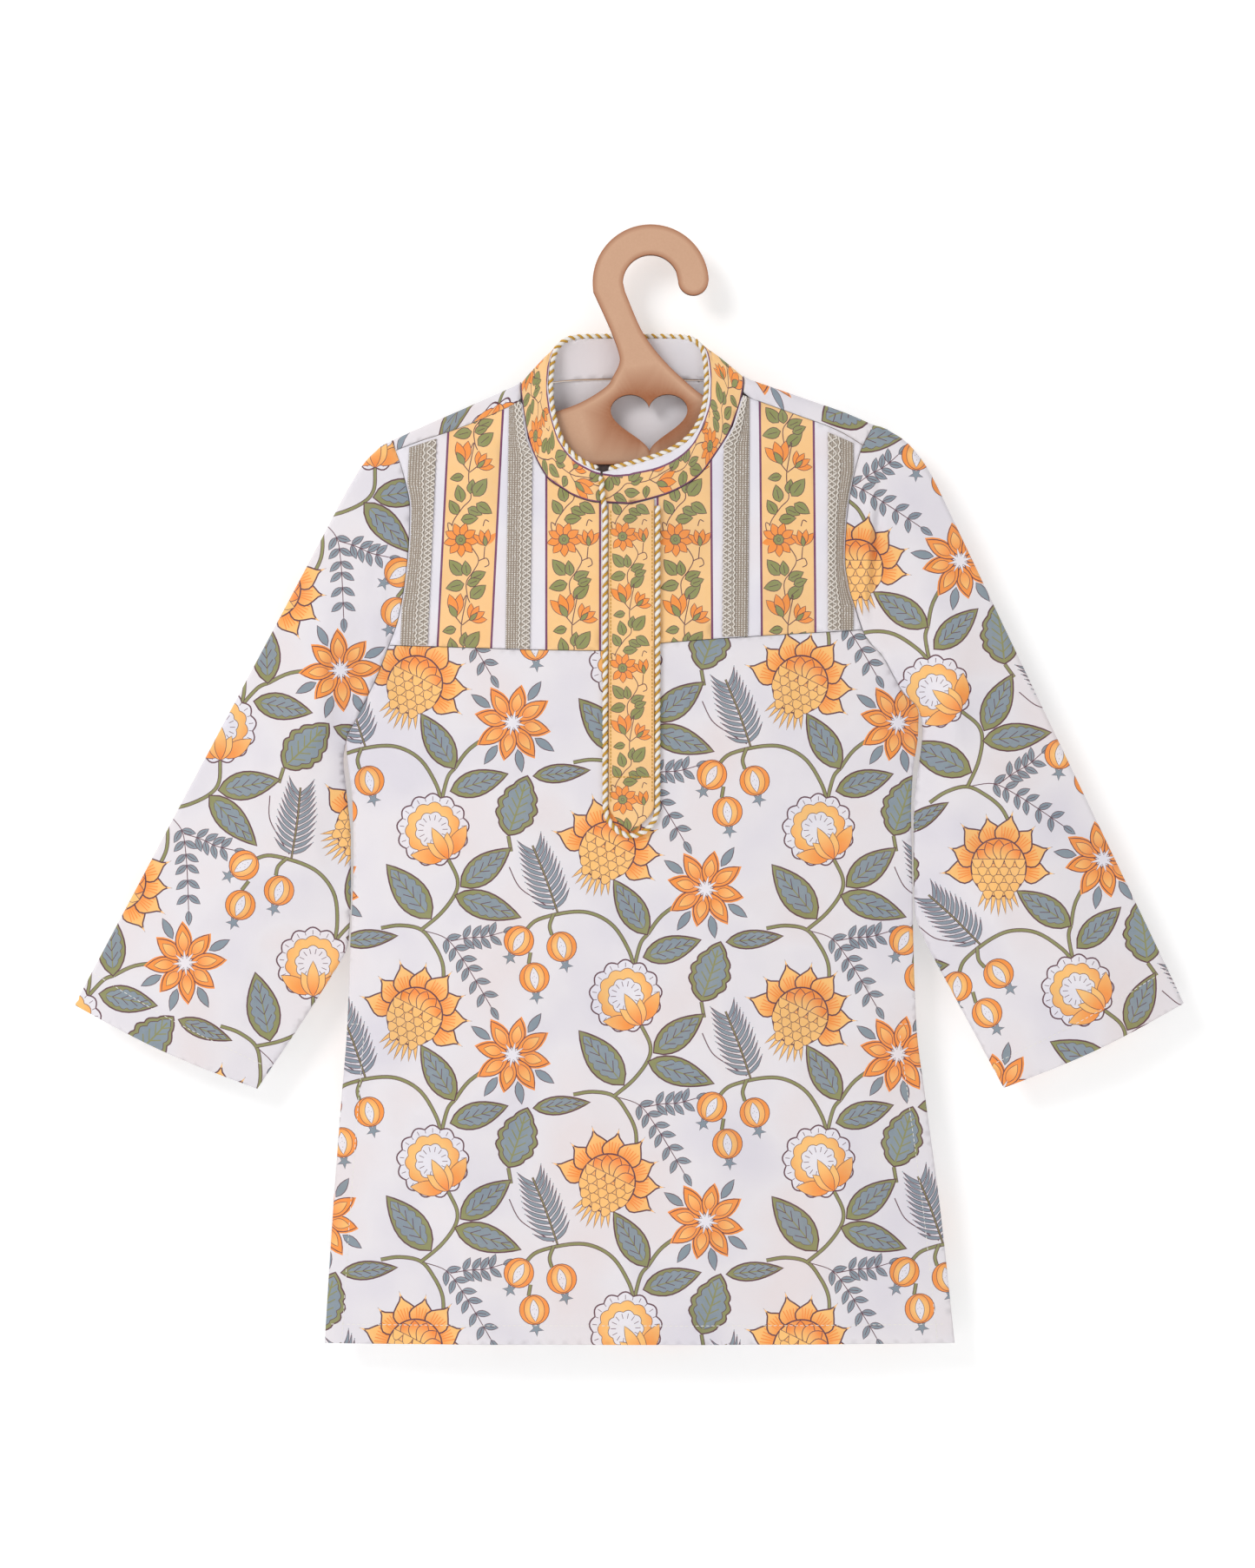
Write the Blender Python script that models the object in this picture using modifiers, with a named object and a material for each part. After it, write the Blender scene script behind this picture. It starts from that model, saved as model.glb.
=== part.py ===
"""A child's long-sleeved kurta with a stand collar, hung flat on its small plate hanger.

The frame is metres, +Z up, with the wearer's front facing -Y. The origin is the top of the hook's
inner crook, the point that rests on a peg. Tailoring sizes below are in millimetres: a drop is
measured down from the crook and a width is measured from the garment's centre line.
"""
import math

import bmesh
import bpy
from mathutils import Vector

MM = 0.001

# Cloth
WALL = 1.2
SEAM_GAP = 0.3
LAY_GAP = 0.3
CENTRE_X = -11.0
SHOULDER_RADIUS = 4.2
SEAM_HALF_DEPTH = 0.5 * SEAM_GAP + WALL
CROWN_POWER = 2.4
SHOULDER_EASE = 40.0
NECK_RIDGE_RISE = 60.0

# The half width of the body at each drop: down the armhole seam, then down the side seam
SIDE_COLUMNS = ("drop", "half_width")
LEFT_SIDE = (
    (107.0, 138.0), (126.0, 131.5), (147.0, 127.5), (164.0, 128.0), (189.5, 130.5), (211.0, 134.5),
    (225.5, 139.7), (242.0, 146.0), (265.0, 157.0), (282.5, 164.5), (317.5, 161.0), (350.0, 160.5),
    (403.0, 162.5), (444.0, 164.0), (489.0, 167.5), (549.0, 172.0), (628.0, 177.0),
)
RIGHT_SIDE = (
    (98.0, 139.8), (113.5, 132.0), (131.0, 127.5), (153.0, 124.0), (176.0, 123.0), (191.0, 125.0),
    (204.0, 129.0), (221.5, 135.5), (232.0, 145.0), (242.0, 150.5), (252.5, 156.5), (263.5, 165.8),
    (276.5, 165.5), (298.5, 162.5), (322.0, 161.5), (350.0, 162.0), (385.0, 162.5), (444.0, 164.5),
    (489.0, 170.0), (549.0, 178.0), (628.0, 186.5),
)
LEFT_UNDERARM = 282.5
RIGHT_UNDERARM = 263.5
HEM_DROP = 628.0
SLIT_TOP = 444.0
SLIT_HALF_DEPTH = 3.2

# Half depth of the armhole, from the shoulder (0) to the underarm (1)
ARMHOLE_DEPTHS = ((0.0, SHOULDER_RADIUS), (0.3, 5.2), (0.6, 4.6), (0.85, 2.7), (1.0, SEAM_HALF_DEPTH))
# Half depth of the body at its centre line
CROWN_DEPTHS = ((70.0, 9.0), (150.0, 10.0), (250.0, 10.5), (400.0, 11.0), (HEM_DROP, 12.0))

# Shoulder ridge and the forward seam below it; a share is a part of the half width
NECK_SHARE = 0.463
SHOULDER_COLUMNS = ("share", "ridge_left", "ridge_right", "seam_left", "seam_right")
SHOULDER = (
    (NECK_SHARE, 74.0, 70.5, 85.0, 81.5),
    (0.72, 89.8, 83.0, 100.3, 94.5),
    (0.88, 99.5, 90.8, 107.5, 102.5),
    (1.0, 107.0, 98.0, 113.0, 110.0),
)
NECKLINE_COLUMNS = ("share", "drop_left", "drop_right")
NECKLINE = (
    (0.0, 144.5, 144.5), (0.156, 143.5, 139.0), (0.253, 140.0, 133.0), (0.308, 135.5, 127.5),
    (0.363, 130.5, 117.0), (0.41, 118.5, 104.0), (0.432, 106.0, 93.0), (0.455, 86.5, 82.5),
)
BACK_NECK_DROP = 71.5
YOKE_SEAM = ((-1.0, 225.5), (-0.1, 228.8), (0.1, 224.8), (1.0, 216.5))

# Broad soft folds: side (-1 front, 1 back), width, drop, lean in degrees, half length, half width, height
FOLD_COLUMNS = ("face", "across", "drop", "lean", "half_length", "half_width", "height")
BODY_FOLDS = (
    (-1, -95.0, 560.0, 8.0, 95.0, 16.0, 2.2),
    (-1, 40.0, 575.0, -6.0, 80.0, 15.0, 1.8),
    (-1, 118.0, 540.0, -14.0, 90.0, 14.0, 1.8),
    (-1, -60.0, 330.0, 38.0, 70.0, 13.0, 1.4),
    (-1, 95.0, 330.0, -40.0, 70.0, 13.0, 1.4),
    (1, -70.0, 545.0, -7.0, 100.0, 17.0, 2.2),
    (1, 60.0, 560.0, 9.0, 90.0, 16.0, 2.0),
    (1, 0.0, 300.0, 28.0, 80.0, 15.0, 1.5),
    (1, -90.0, 250.0, -35.0, 60.0, 13.0, 1.4),
)

# Sleeves: the outer fold, and the under fold, which runs down beside the body and then out to the cuff
LEFT_SLEEVE_TOP = ((138.0, 107.0), (149.0, 112.0), (160.5, 129.0), (241.0, 281.0), (321.5, 433.0))
RIGHT_SLEEVE_TOP = ((139.8, 98.0), (151.5, 101.0), (166.0, 114.0), (174.5, 129.0), (246.5, 280.5),
                    (319.0, 432.0))
LEFT_SLEEVE_UNDER = ((163.4, 400.0), (171.5, 414.0), (190.0, 443.0), (216.0, 481.5))
RIGHT_SLEEVE_UNDER = ((163.5, 383.0), (171.5, 400.5), (190.0, 434.5), (215.0, 481.0))
# How far the under fold stands off the body's side, by the distance below the underarm
UNDER_FOLD_STANDOFF = ((0.0, 0.3), (3.0, 1.2), (8.0, 2.6), (18.0, 2.8), (50.0, 1.4), (90.0, 0.8))
CUFF_BOW = 2.5
SLEEVE_TOP_RADIUS_AT_CUFF = 2.2
SLEEVE_UNDER_RADIUS = SEAM_HALF_DEPTH
SLEEVE_CROWN = ((0.0, 3.0), (0.35, 4.2), (0.8, 4.0), (1.0, 4.4))
SLEEVE_HEAD_BLEND = 0.3
SLEEVE_FOLD_COLUMNS = ("along", "across", "lean", "half_length", "half_width", "height")
SLEEVE_FOLDS = (
    (0.2, 0.45, 0.5, 0.3, 0.1, 1.4),
    (0.5, 0.7, -0.4, 0.25, 0.09, 1.2),
    (0.78, 0.35, 0.45, 0.25, 0.1, 1.3),
)

# Stand collar: the line of its top edge, from the front opening round the wearer's right
COLLAR_WALL = 1.2
COLLAR_LINING_WALL = 1.0
LINING_RISE = 1.4
COLLAR_OVERLAP_X = -16.5
COLLAR_TOP_SOFTNESS = 0.05
OUTWARD_REACH = 3
TURN_Y = 3.0
TURN_REACH = 8.0
COLLAR_SPACING = 1.2
LINING_SPACING = 3.0
COLLAR_TURN_DIP = 2.4
LINING_TURN_DIP = 4.0
COLLAR_TOP_COLUMNS = ("across", "drop", "y")
COLLAR_TOP_FRONT_LEFT = (
    (COLLAR_OVERLAP_X - 3.2, 124.2, -11.6), (-26.0, 122.0, -11.4), (-36.0, 115.5, -10.6), (-41.5, 107.0, -9.8),
    (-44.5, 96.5, -8.8), (-48.0, 80.0, -7.2), (-48.0, 66.0, -5.0), (-46.0, 55.0, -1.8), (-41.5, 48.0, 2.5),
)
COLLAR_TOP_BACK_LEFT = (
    (-41.5, 48.0, 2.5), (-37.0, 46.6, 6.0), (-30.0, 46.2, 8.8), (-16.0, 46.0, 11.0), (0.0, 46.0, 11.8),
)
COLLAR_TOP_BACK_RIGHT = (
    (0.0, 46.0, 11.8), (16.0, 46.0, 11.0), (29.0, 46.2, 8.8), (36.0, 46.6, 6.0), (40.5, 48.0, 2.5),
)
COLLAR_TOP_FRONT_RIGHT = (
    (40.5, 48.0, 2.5), (43.0, 56.0, -1.8), (44.5, 67.0, -5.0), (44.5, 81.0, -7.2), (39.7, 100.0, -9.4),
    (30.0, 110.0, -10.6), (15.0, 117.0, -11.6), (0.0, 121.0, -12.0), (COLLAR_OVERLAP_X, 125.2, -12.2),
)

# Placket: a straight strip whose lower end is rounded
PLACKET_HALF_WIDTH = 13.2
PLACKET_STRAIGHT_END = 318.0
PLACKET_TIP = 333.0
PLACKET_TIP_POWER = 1.6

# Woven lace strips: the edge nearer the centre line at the top and at the bottom, and their width
LACE_COLUMNS = ("side", "edge_top", "edge_bottom", "width")
LACES = (
    (-1, 112.0, 117.2, 16.0),
    (-1, 56.3, 58.2, 14.2),
    (1, 53.0, 52.0, 15.0),
    (1, 113.0, 113.0, 15.0),
)
LACE_WALL = 1.0

# Twisted cord trims
CORD_RADIUS = 1.6
CORD_SIDES_RESOLUTION = 2
CORD_GAP = 0.6
CORD_POINT_SPACING = 4.4

# Hanger: a plate with a round hook, a heart-shaped hole and two arms
PLATE_THICKNESS = 5.0
HOOK_OUTER_RADIUS = 33.5
HOOK_INNER_RADIUS = 16.0
HOOK_TIP_RADIUS = 8.75
HOOK_TIP_CENTRE = (24.6, -14.8)
HUB_X = -1.6
HANGER_TILT_DEG = 0.5
STEM_LEFT = ((-33.2, 21.0), (-24.1, 41.5), (-19.2, 55.0), (-18.4, 62.0), (-21.9, 69.5), (-26.3, 76.0),
             (-40.0, 84.5), (-55.6, 90.2))
STEM_RIGHT = ((-14.9, 21.0), (-7.7, 39.0), (-2.6, 48.5), (4.5, 58.0), (15.6, 69.6), (31.2, 82.4),
              (52.4, 90.2))
ARM_TOP = ((75.0, 95.6), (95.0, 98.8), (112.5, 100.4), (125.0, 101.2))
ARM_TIP = ((132.0, 104.4), (135.5, 111.0), (132.0, 118.0))
ARM_UNDER = ((110.0, 119.0), (75.0, 119.5), (40.0, 120.6))
HUB_FOOT = 121.0
HEART_HALF_WIDTH = 22.2
HEART_HEIGHT = 33.0
HEART_TOP = 80.5
HEART_POINTS = 36

# Columns of the panels' grids, as shares of the half width, and the rows down the armhole
ARCH_STEPS = 8
HALF_BACK_SHARES = (0.125, 0.25, 0.36, NECK_SHARE, 0.53, 0.62, 0.72, 0.84, 0.93, 1.0)
HALF_FRONT_SHARES = (0.08, 0.156, 0.253, 0.363, 0.455, 0.53, 0.62, 0.72, 0.84, 0.93, 1.0)
YOKE_SHARES = (0.0015, 0.08, 0.156, 0.253, 0.308, 0.363, 0.41, 0.432, 0.455, 0.53, 0.62, 0.72, 0.84,
               0.93, 1.0)
YOKE_ROWS = 7
UNDERARM_ROWS = 4
SIDE_SEAM_ROWS = 13


def monotone_curve(points, key):
    """Read a table of (key, value) rows as a smooth curve that never swings past its rows."""
    rows = sorted(points)
    if key <= rows[0][0]:
        return rows[0][1]
    if key >= rows[-1][0]:
        return rows[-1][1]
    slopes = [(b[1] - a[1]) / (b[0] - a[0]) for a, b in zip(rows, rows[1:])]
    tangents = [slopes[0]]
    for before, after in zip(slopes, slopes[1:]):
        same_way = before * after > 0.0
        tangents.append(2.0 * before * after / (before + after) if same_way else 0.0)
    tangents.append(slopes[-1])
    index = max(i for i in range(len(rows) - 1) if rows[i][0] <= key)
    (x0, y0), (x1, y1) = rows[index], rows[index + 1]
    span = x1 - x0
    t = (key - x0) / span
    rise = (2.0 * t ** 3 - 3.0 * t ** 2 + 1.0) * y0 + (3.0 * t ** 2 - 2.0 * t ** 3) * y1
    bend = (t ** 3 - 2.0 * t ** 2 + t) * tangents[index] + (t ** 3 - t ** 2) * tangents[index + 1]
    return rise + bend * span


def column_of(table, columns, name):
    """Pick one named column of a table, paired with the table's first column."""
    index = columns.index(name)
    return [(row[0], row[index]) for row in table]


def ease(value):
    """Rise smoothly from 0 to 1 while the value does."""
    clamped = min(max(value, 0.0), 1.0)
    return clamped * clamped * (3.0 - 2.0 * clamped)


def both_sides(shares):
    """The same columns on both sides of the centre line."""
    return tuple(-share for share in reversed(shares)) + (0.0,) + tuple(shares)


def side_name(share):
    return "left" if share < 0.0 else "right"


def half_width(share, drop):
    """Half width of the body at a drop, on the side that the share lies."""
    return monotone_curve(LEFT_SIDE if share < 0.0 else RIGHT_SIDE, drop)


def underarm(share):
    return LEFT_UNDERARM if share < 0.0 else RIGHT_UNDERARM


def ridge_drop(share):
    """Drop of the shoulder's ridge. Inside the neck it rises, so that the cloth there stands open."""
    reach = abs(share)
    column = column_of(SHOULDER, SHOULDER_COLUMNS, "ridge_" + side_name(share))
    ridge = monotone_curve(column, reach)
    if reach < NECK_SHARE:
        ridge -= NECK_RIDGE_RISE * (1.0 - (reach / NECK_SHARE) ** 1.5)
    return ridge


def forward_seam_drop(share):
    column = column_of(SHOULDER, SHOULDER_COLUMNS, "seam_" + side_name(share))
    return monotone_curve(column, abs(share))


def neckline_drop(share):
    column = column_of(NECKLINE, NECKLINE_COLUMNS, "drop_" + side_name(share))
    return monotone_curve(column, abs(share))


def back_neck_drop(share):
    """Drop of the back neckline, which runs down into the end of the shoulder's arch."""
    end = ridge_drop(math.copysign(NECK_SHARE, share)) + SHOULDER_RADIUS
    return BACK_NECK_DROP + (end - BACK_NECK_DROP) * min(abs(share) / NECK_SHARE, 1.0) ** 4


def yoke_seam_drop(share):
    return monotone_curve(YOKE_SEAM, share)


def edge_depth(share, drop):
    """Half depth of the body at its edge: the armhole, the side seam, then the open side slit."""
    top = ridge_drop(math.copysign(1.0, share))
    along = (drop - top) / (underarm(share) - top)
    if along < 1.0:
        return monotone_curve(ARMHOLE_DEPTHS, along)
    opened = ease((drop - SLIT_TOP) / (HEM_DROP - SLIT_TOP))
    return SEAM_HALF_DEPTH + (SLIT_HALF_DEPTH - SEAM_HALF_DEPTH) * opened


def fold_height(face, across, drop):
    """Sum of the broad folds of one face of the body at a point."""
    total = 0.0
    for fold_face, fold_across, fold_drop, lean, length, width, height in BODY_FOLDS:
        if fold_face != face:
            continue
        angle = math.radians(lean)
        along = (drop - fold_drop) * math.cos(angle) + (across - fold_across) * math.sin(angle)
        aside = (across - fold_across) * math.cos(angle) - (drop - fold_drop) * math.sin(angle)
        total += height * math.exp(-(along / length) ** 2 - (aside / width) ** 2)
    return total


def half_depth(face, share, drop):
    """Half depth of the body's outer surface on one face, folds included."""
    below = drop - ridge_drop(share)
    radius = SHOULDER_RADIUS
    if below <= 0.0:
        return 0.0
    if below < radius:
        return math.sqrt(radius ** 2 - (radius - below) ** 2)
    edge = edge_depth(share, drop)
    bulge = 1.0 - abs(share) ** CROWN_POWER
    full = edge + (monotone_curve(CROWN_DEPTHS, drop) - edge) * bulge
    full += fold_height(face, share * half_width(share, drop), drop) * bulge
    return radius + (full - radius) * ease((below - radius) / SHOULDER_EASE)


def underarm_level(share):
    """A line across the body from one underarm to the other."""
    return LEFT_UNDERARM + (RIGHT_UNDERARM - LEFT_UNDERARM) * 0.5 * (share + 1.0)


def rows_between(start, end, count):
    return [start + (end - start) * step / count for step in range(count + 1)]


def armhole_rows(share):
    """Drops of one column from the forward seam down the yoke and on to the underarm's level."""
    seam = yoke_seam_drop(share)
    return (rows_between(forward_seam_drop(share), seam, YOKE_ROWS)
            + rows_between(seam, underarm_level(share), UNDERARM_ROWS)[1:])


def place(across, y, drop):
    """A tailoring position as a point of the frame, in metres."""
    return Vector(((CENTRE_X + across) * MM, y * MM, -drop * MM))


def on_body(face, share, drop, proud=0.0):
    """A point of the body's outer surface, moved outwards by proud."""
    return place(share * half_width(share, drop), face * (half_depth(face, share, drop) + proud), drop)


def share_at(across, drop):
    return across / half_width(across, drop)


def new_material(name, colour, roughness, metallic=0.0):
    material = bpy.data.materials.new(name)
    material.use_nodes = True
    shader = material.node_tree.nodes["Principled BSDF"]
    shader.inputs["Base Color"].default_value = (*colour, 1.0)
    shader.inputs["Roughness"].default_value = roughness
    shader.inputs["Metallic"].default_value = metallic
    return material


def add_object(name, mesh, material, collection):
    mesh.materials.clear()
    mesh.materials.append(material)
    piece = bpy.data.objects.new(name, mesh)
    collection.objects.link(piece)
    mesh.shade_smooth()
    mesh.set_sharp_from_angle(angle=math.radians(40.0))
    return piece


def thicken(piece, thickness, outwards=False, even=True):
    """Give an open sheet its wall, inwards from its outer surface or outwards from its lower one."""
    wall = piece.modifiers.new("wall", "SOLIDIFY")
    wall.thickness = thickness * MM
    wall.offset = 1.0 if outwards else -1.0
    wall.use_even_offset = even
    return wall


def sheet_from_grid(name, columns, rows, point_at, material, collection, drop_cells=None, facing=None):
    """Shape a grid primitive into a sheet of cloth.

    point_at(column, row) gives each corner's place. drop_cells(column, row) says which cells are
    left out, as in a neck. facing is a direction that the sheet's first face should look along.
    """
    bm = bmesh.new()
    bmesh.ops.create_grid(bm, x_segments=columns, y_segments=rows, size=0.5)
    for vertex in bm.verts:
        column = round((vertex.co.x + 0.5) * columns)
        row = round((vertex.co.y + 0.5) * rows)
        vertex.co = point_at(column, row)
    if drop_cells is not None:
        bm.faces.ensure_lookup_table()
        unwanted = [bm.faces[row * columns + column] for row in range(rows) for column in range(columns)
                    if drop_cells(column, row)]
        bmesh.ops.delete(bm, geom=unwanted, context="FACES")
    bm.normal_update()
    bm.faces.ensure_lookup_table()
    largest = max(bm.faces, key=lambda face: face.calc_area())
    if facing is not None and largest.normal.dot(facing) < 0.0:
        bmesh.ops.reverse_faces(bm, faces=bm.faces[:])
    mesh = bpy.data.meshes.new(name)
    bm.to_mesh(mesh)
    bm.free()
    return add_object(name, mesh, material, collection)


FRONT = Vector((0.0, -1.0, 0.0))
BACK = Vector((0.0, 1.0, 0.0))


def build_front_panel(material, collection):
    """The front below the yoke, from its seam to the hem."""
    shares = both_sides(HALF_FRONT_SHARES)

    def point_at(column, row):
        share = shares[column]
        level = underarm_level(share)
        drops = rows_between(yoke_seam_drop(share), level, UNDERARM_ROWS)
        drops += rows_between(level, HEM_DROP, SIDE_SEAM_ROWS)[1:]
        return on_body(-1, share, drops[row] + (0.5 * SEAM_GAP if row == 0 else 0.0))

    panel = sheet_from_grid("front_panel", len(shares) - 1, UNDERARM_ROWS + SIDE_SEAM_ROWS, point_at, material,
                            collection, facing=FRONT)
    thicken(panel, WALL)


def build_yoke(name, side, material, collection):
    """One half of the front yoke, from the forward shoulder seam and the neckline to its lower seam."""

    def point_at(column, row):
        share = side * YOKE_SHARES[column]
        in_neck = abs(share) <= NECKLINE[-1][0]
        top = neckline_drop(share) if in_neck else forward_seam_drop(share)
        drops = rows_between(top, yoke_seam_drop(share), YOKE_ROWS)
        drops[0] += 0.5 * SEAM_GAP
        drops[-1] -= 0.5 * SEAM_GAP
        return on_body(-1, share, drops[row])

    yoke = sheet_from_grid(name, len(YOKE_SHARES) - 1, YOKE_ROWS, point_at, material, collection, facing=FRONT)
    thicken(yoke, WALL)


def build_back_panel(material, collection):
    """The back, which folds over both shoulders to the forward seams."""
    shares = both_sides(HALF_BACK_SHARES)
    flap_rows = 2
    arch_end = flap_rows + ARCH_STEPS

    def point_at(column, row):
        share = shares[column]
        ridge = ridge_drop(share)
        if row < flap_rows:
            seam = forward_seam_drop(share) - 0.5 * SEAM_GAP
            start = ridge + SHOULDER_RADIUS
            return on_body(-1, share, seam + (start - seam) * row / flap_rows)
        if row < arch_end:
            angle = math.pi * (row - flap_rows) / ARCH_STEPS
            drop = ridge + SHOULDER_RADIUS * (1.0 - math.sin(angle))
            return place(share * half_width(share, drop), -SHOULDER_RADIUS * math.cos(angle), drop)
        in_neck = abs(share) < NECK_SHARE
        top = back_neck_drop(share) if in_neck else ridge + SHOULDER_RADIUS
        drops = [top] + armhole_rows(share)
        if in_neck:
            drops = rows_between(top, underarm_level(share), YOKE_ROWS + UNDERARM_ROWS + 1)
        drops += rows_between(underarm_level(share), HEM_DROP, SIDE_SEAM_ROWS)[1:]
        return on_body(1, share, drops[row - arch_end])

    def in_neck_hole(column, row):
        middle = 0.5 * (shares[column] + shares[column + 1])
        return row < arch_end and abs(middle) < NECK_SHARE

    rows = arch_end + YOKE_ROWS + UNDERARM_ROWS + 1 + SIDE_SEAM_ROWS
    panel = sheet_from_grid("back_panel", len(shares) - 1, rows, point_at, material, collection,
                            drop_cells=in_neck_hole, facing=BACK)
    thicken(panel, WALL)


def polyline_at(points, fraction):
    """The point at a fraction of a polyline's length, in a plane or in space."""
    vectors = [Vector(point) for point in points]
    steps = [(b - a).length for a, b in zip(vectors, vectors[1:])]
    target = fraction * sum(steps)
    for start, end, step in zip(vectors, vectors[1:], steps):
        if target <= step:
            return start.lerp(end, target / step)
        target -= step
    return vectors[-1]


def smooth_line(points, fraction, softness=0.03):
    """A polyline with its corners rounded by averaging a short stretch on each side."""
    reach = min(softness, fraction, 1.0 - fraction)
    total = sum((polyline_at(points, fraction + offset * reach) for offset in (-1.0, -0.5, 0.0, 0.5, 1.0)),
                Vector([0.0] * len(points[0])))
    return total / 5.0


class Sleeve:
    """A sleeve as a flattened tube between the armhole seam and the cuff."""

    EDGE_ANGLES = (0.0, 45.0, 90.0)
    ROWS = (0.0, 0.02, 0.06, 0.12, 0.2, 0.29, 0.38, 0.46, 0.54, 0.62, 0.71, 0.8, 0.9, 1.0)
    LAST_STATION = 0.965
    SIDE_CLEARANCE = 0.5
    CLEARANCE_AT = 0.03
    # The head's curve fades out, and the under fold waits at the underarm, until the rings have swung clear
    HEAD_FADE = 0.2
    UNDER_WAIT = ((0.0, 0.0), (0.12, 0.012), (0.2, 0.06), (0.3, 0.16), (0.5, 0.42), (1.0, 1.0))

    def __init__(self, side, top_fold, under_fold):
        self.side = side
        self.top_fold = top_fold
        self.top_drop = top_fold[0][1]
        self.under_drop = underarm(side)
        beside = []
        for below, standoff in UNDER_FOLD_STANDOFF:
            drop = self.under_drop + below
            beside.append((half_width(side, drop) + standoff, drop))
        self.under_fold = beside + list(under_fold)
        run = self.under_drop - self.top_drop
        self.middle = [(drop - self.top_drop) / run for drop in armhole_rows(side)[:-1]] + [self.LAST_STATION]

    def armhole(self, across):
        """The sleeve's head on the armhole seam, from the shoulder (0) to the underarm (1)."""
        drop = self.top_drop + (self.under_drop - self.top_drop) * across
        return Vector((half_width(self.side, drop) + SEAM_GAP, drop))

    def cuff(self, across):
        start = Vector(self.top_fold[-1])
        end = Vector(self.under_fold[-1])
        run = end - start
        outwards = Vector((run.y, -run.x)).normalized()
        if outwards.y < 0.0:
            outwards.negate()
        return start.lerp(end, across) + outwards * CUFF_BOW * math.sin(math.pi * across)

    def centre(self, across, along):
        """A point midway between the sleeve's two layers."""
        if along == 0.0:
            return self.armhole(across)
        top = smooth_line(self.top_fold, along)
        under = smooth_line(self.under_fold, monotone_curve(self.UNDER_WAIT, along), 0.02)
        head_bow = self.armhole(across) - self.armhole(0.0).lerp(self.armhole(1.0), across)
        cuff_bow = self.cuff(across) - self.cuff(0.0).lerp(self.cuff(1.0), across)
        point = top.lerp(under, across) + cuff_bow * along ** 4
        point += head_bow * max(1.0 - along / self.HEAD_FADE, 0.0)
        clear = SEAM_GAP + self.SIDE_CLEARANCE * min(along / self.CLEARANCE_AT, 1.0)
        point.x = max(point.x, half_width(self.side, point.y) + clear)
        return point

    def width(self, along):
        return (self.centre(1.0, along) - self.centre(0.0, along)).length

    def crown(self, across, along, face):
        """Half depth between the rounded edges, folds included."""
        head = half_depth(face, self.side, max(self.armhole(across).y, self.top_drop + SHOULDER_RADIUS))
        top_radius = self.top_radius(along)
        lens = math.sin(math.pi * across) ** 1.5
        body = top_radius + (SLEEVE_UNDER_RADIUS - top_radius) * across
        body += monotone_curve(SLEEVE_CROWN, along) * lens
        for fold_along, fold_across, lean, length, width, height in SLEEVE_FOLDS:
            mirrored = fold_across if face < 0 else 1.0 - fold_across
            run = (along - fold_along) * math.cos(lean) + (across - mirrored) * math.sin(lean)
            aside = (across - mirrored) * math.cos(lean) - (along - fold_along) * math.sin(lean)
            body += height * lens * math.exp(-(run / length) ** 2 - (aside / width) ** 2)
        return head + (body - head) * ease(along / SLEEVE_HEAD_BLEND)

    def top_radius(self, along):
        return SHOULDER_RADIUS + (SLEEVE_TOP_RADIUS_AT_CUFF - SHOULDER_RADIUS) * math.sqrt(along)

    def section(self, along, inner):
        """One ring of the tube: the front layer from fold to fold, then the back layer."""
        width = self.width(along)
        cut = WALL if inner else 0.0
        stations = []
        for angle_deg in self.EDGE_ANGLES:
            angle = math.radians(angle_deg)
            radius = self.top_radius(along)
            stations.append(((radius - (radius - cut) * math.cos(angle)) / width, math.sin(angle)))
        stations += [(across, 1.0) for across in self.middle]
        for angle_deg in reversed(self.EDGE_ANGLES):
            angle = math.radians(angle_deg)
            radius = SLEEVE_UNDER_RADIUS
            stations.append((1.0 - (radius - (radius - cut) * math.cos(angle)) / width, math.sin(angle)))
        front = [self.surface(across, along, -1, cut, share) for across, share in stations]
        back = [self.surface(across, along, 1, cut, share) for across, share in stations[-2:0:-1]]
        return front + back

    def surface(self, across, along, face, cut, share):
        centre = self.centre(across, along)
        depth = (self.crown(across, along, face) - cut) * share
        return place(self.side * centre.x, face * depth, centre.y)

    def build(self, name, material, collection):
        outer = [self.section(along, False) for along in self.ROWS]
        inner = [self.section(along, True) for along in reversed(self.ROWS)]
        rings = outer + inner
        bpy.ops.mesh.primitive_torus_add(major_segments=len(rings[0]), minor_segments=len(rings))
        torus = bpy.context.object
        mesh = torus.data
        bpy.data.objects.remove(torus)
        for index, vertex in enumerate(mesh.vertices):
            around, along = divmod(index, len(rings))
            vertex.co = rings[along][around]
        bm = bmesh.new()
        bm.from_mesh(mesh)
        if bm.calc_volume(signed=True) < 0.0:
            bmesh.ops.reverse_faces(bm, faces=bm.faces[:])
        bm.to_mesh(mesh)
        bm.free()
        mesh.name = name
        add_object(name, mesh, material, collection)


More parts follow.
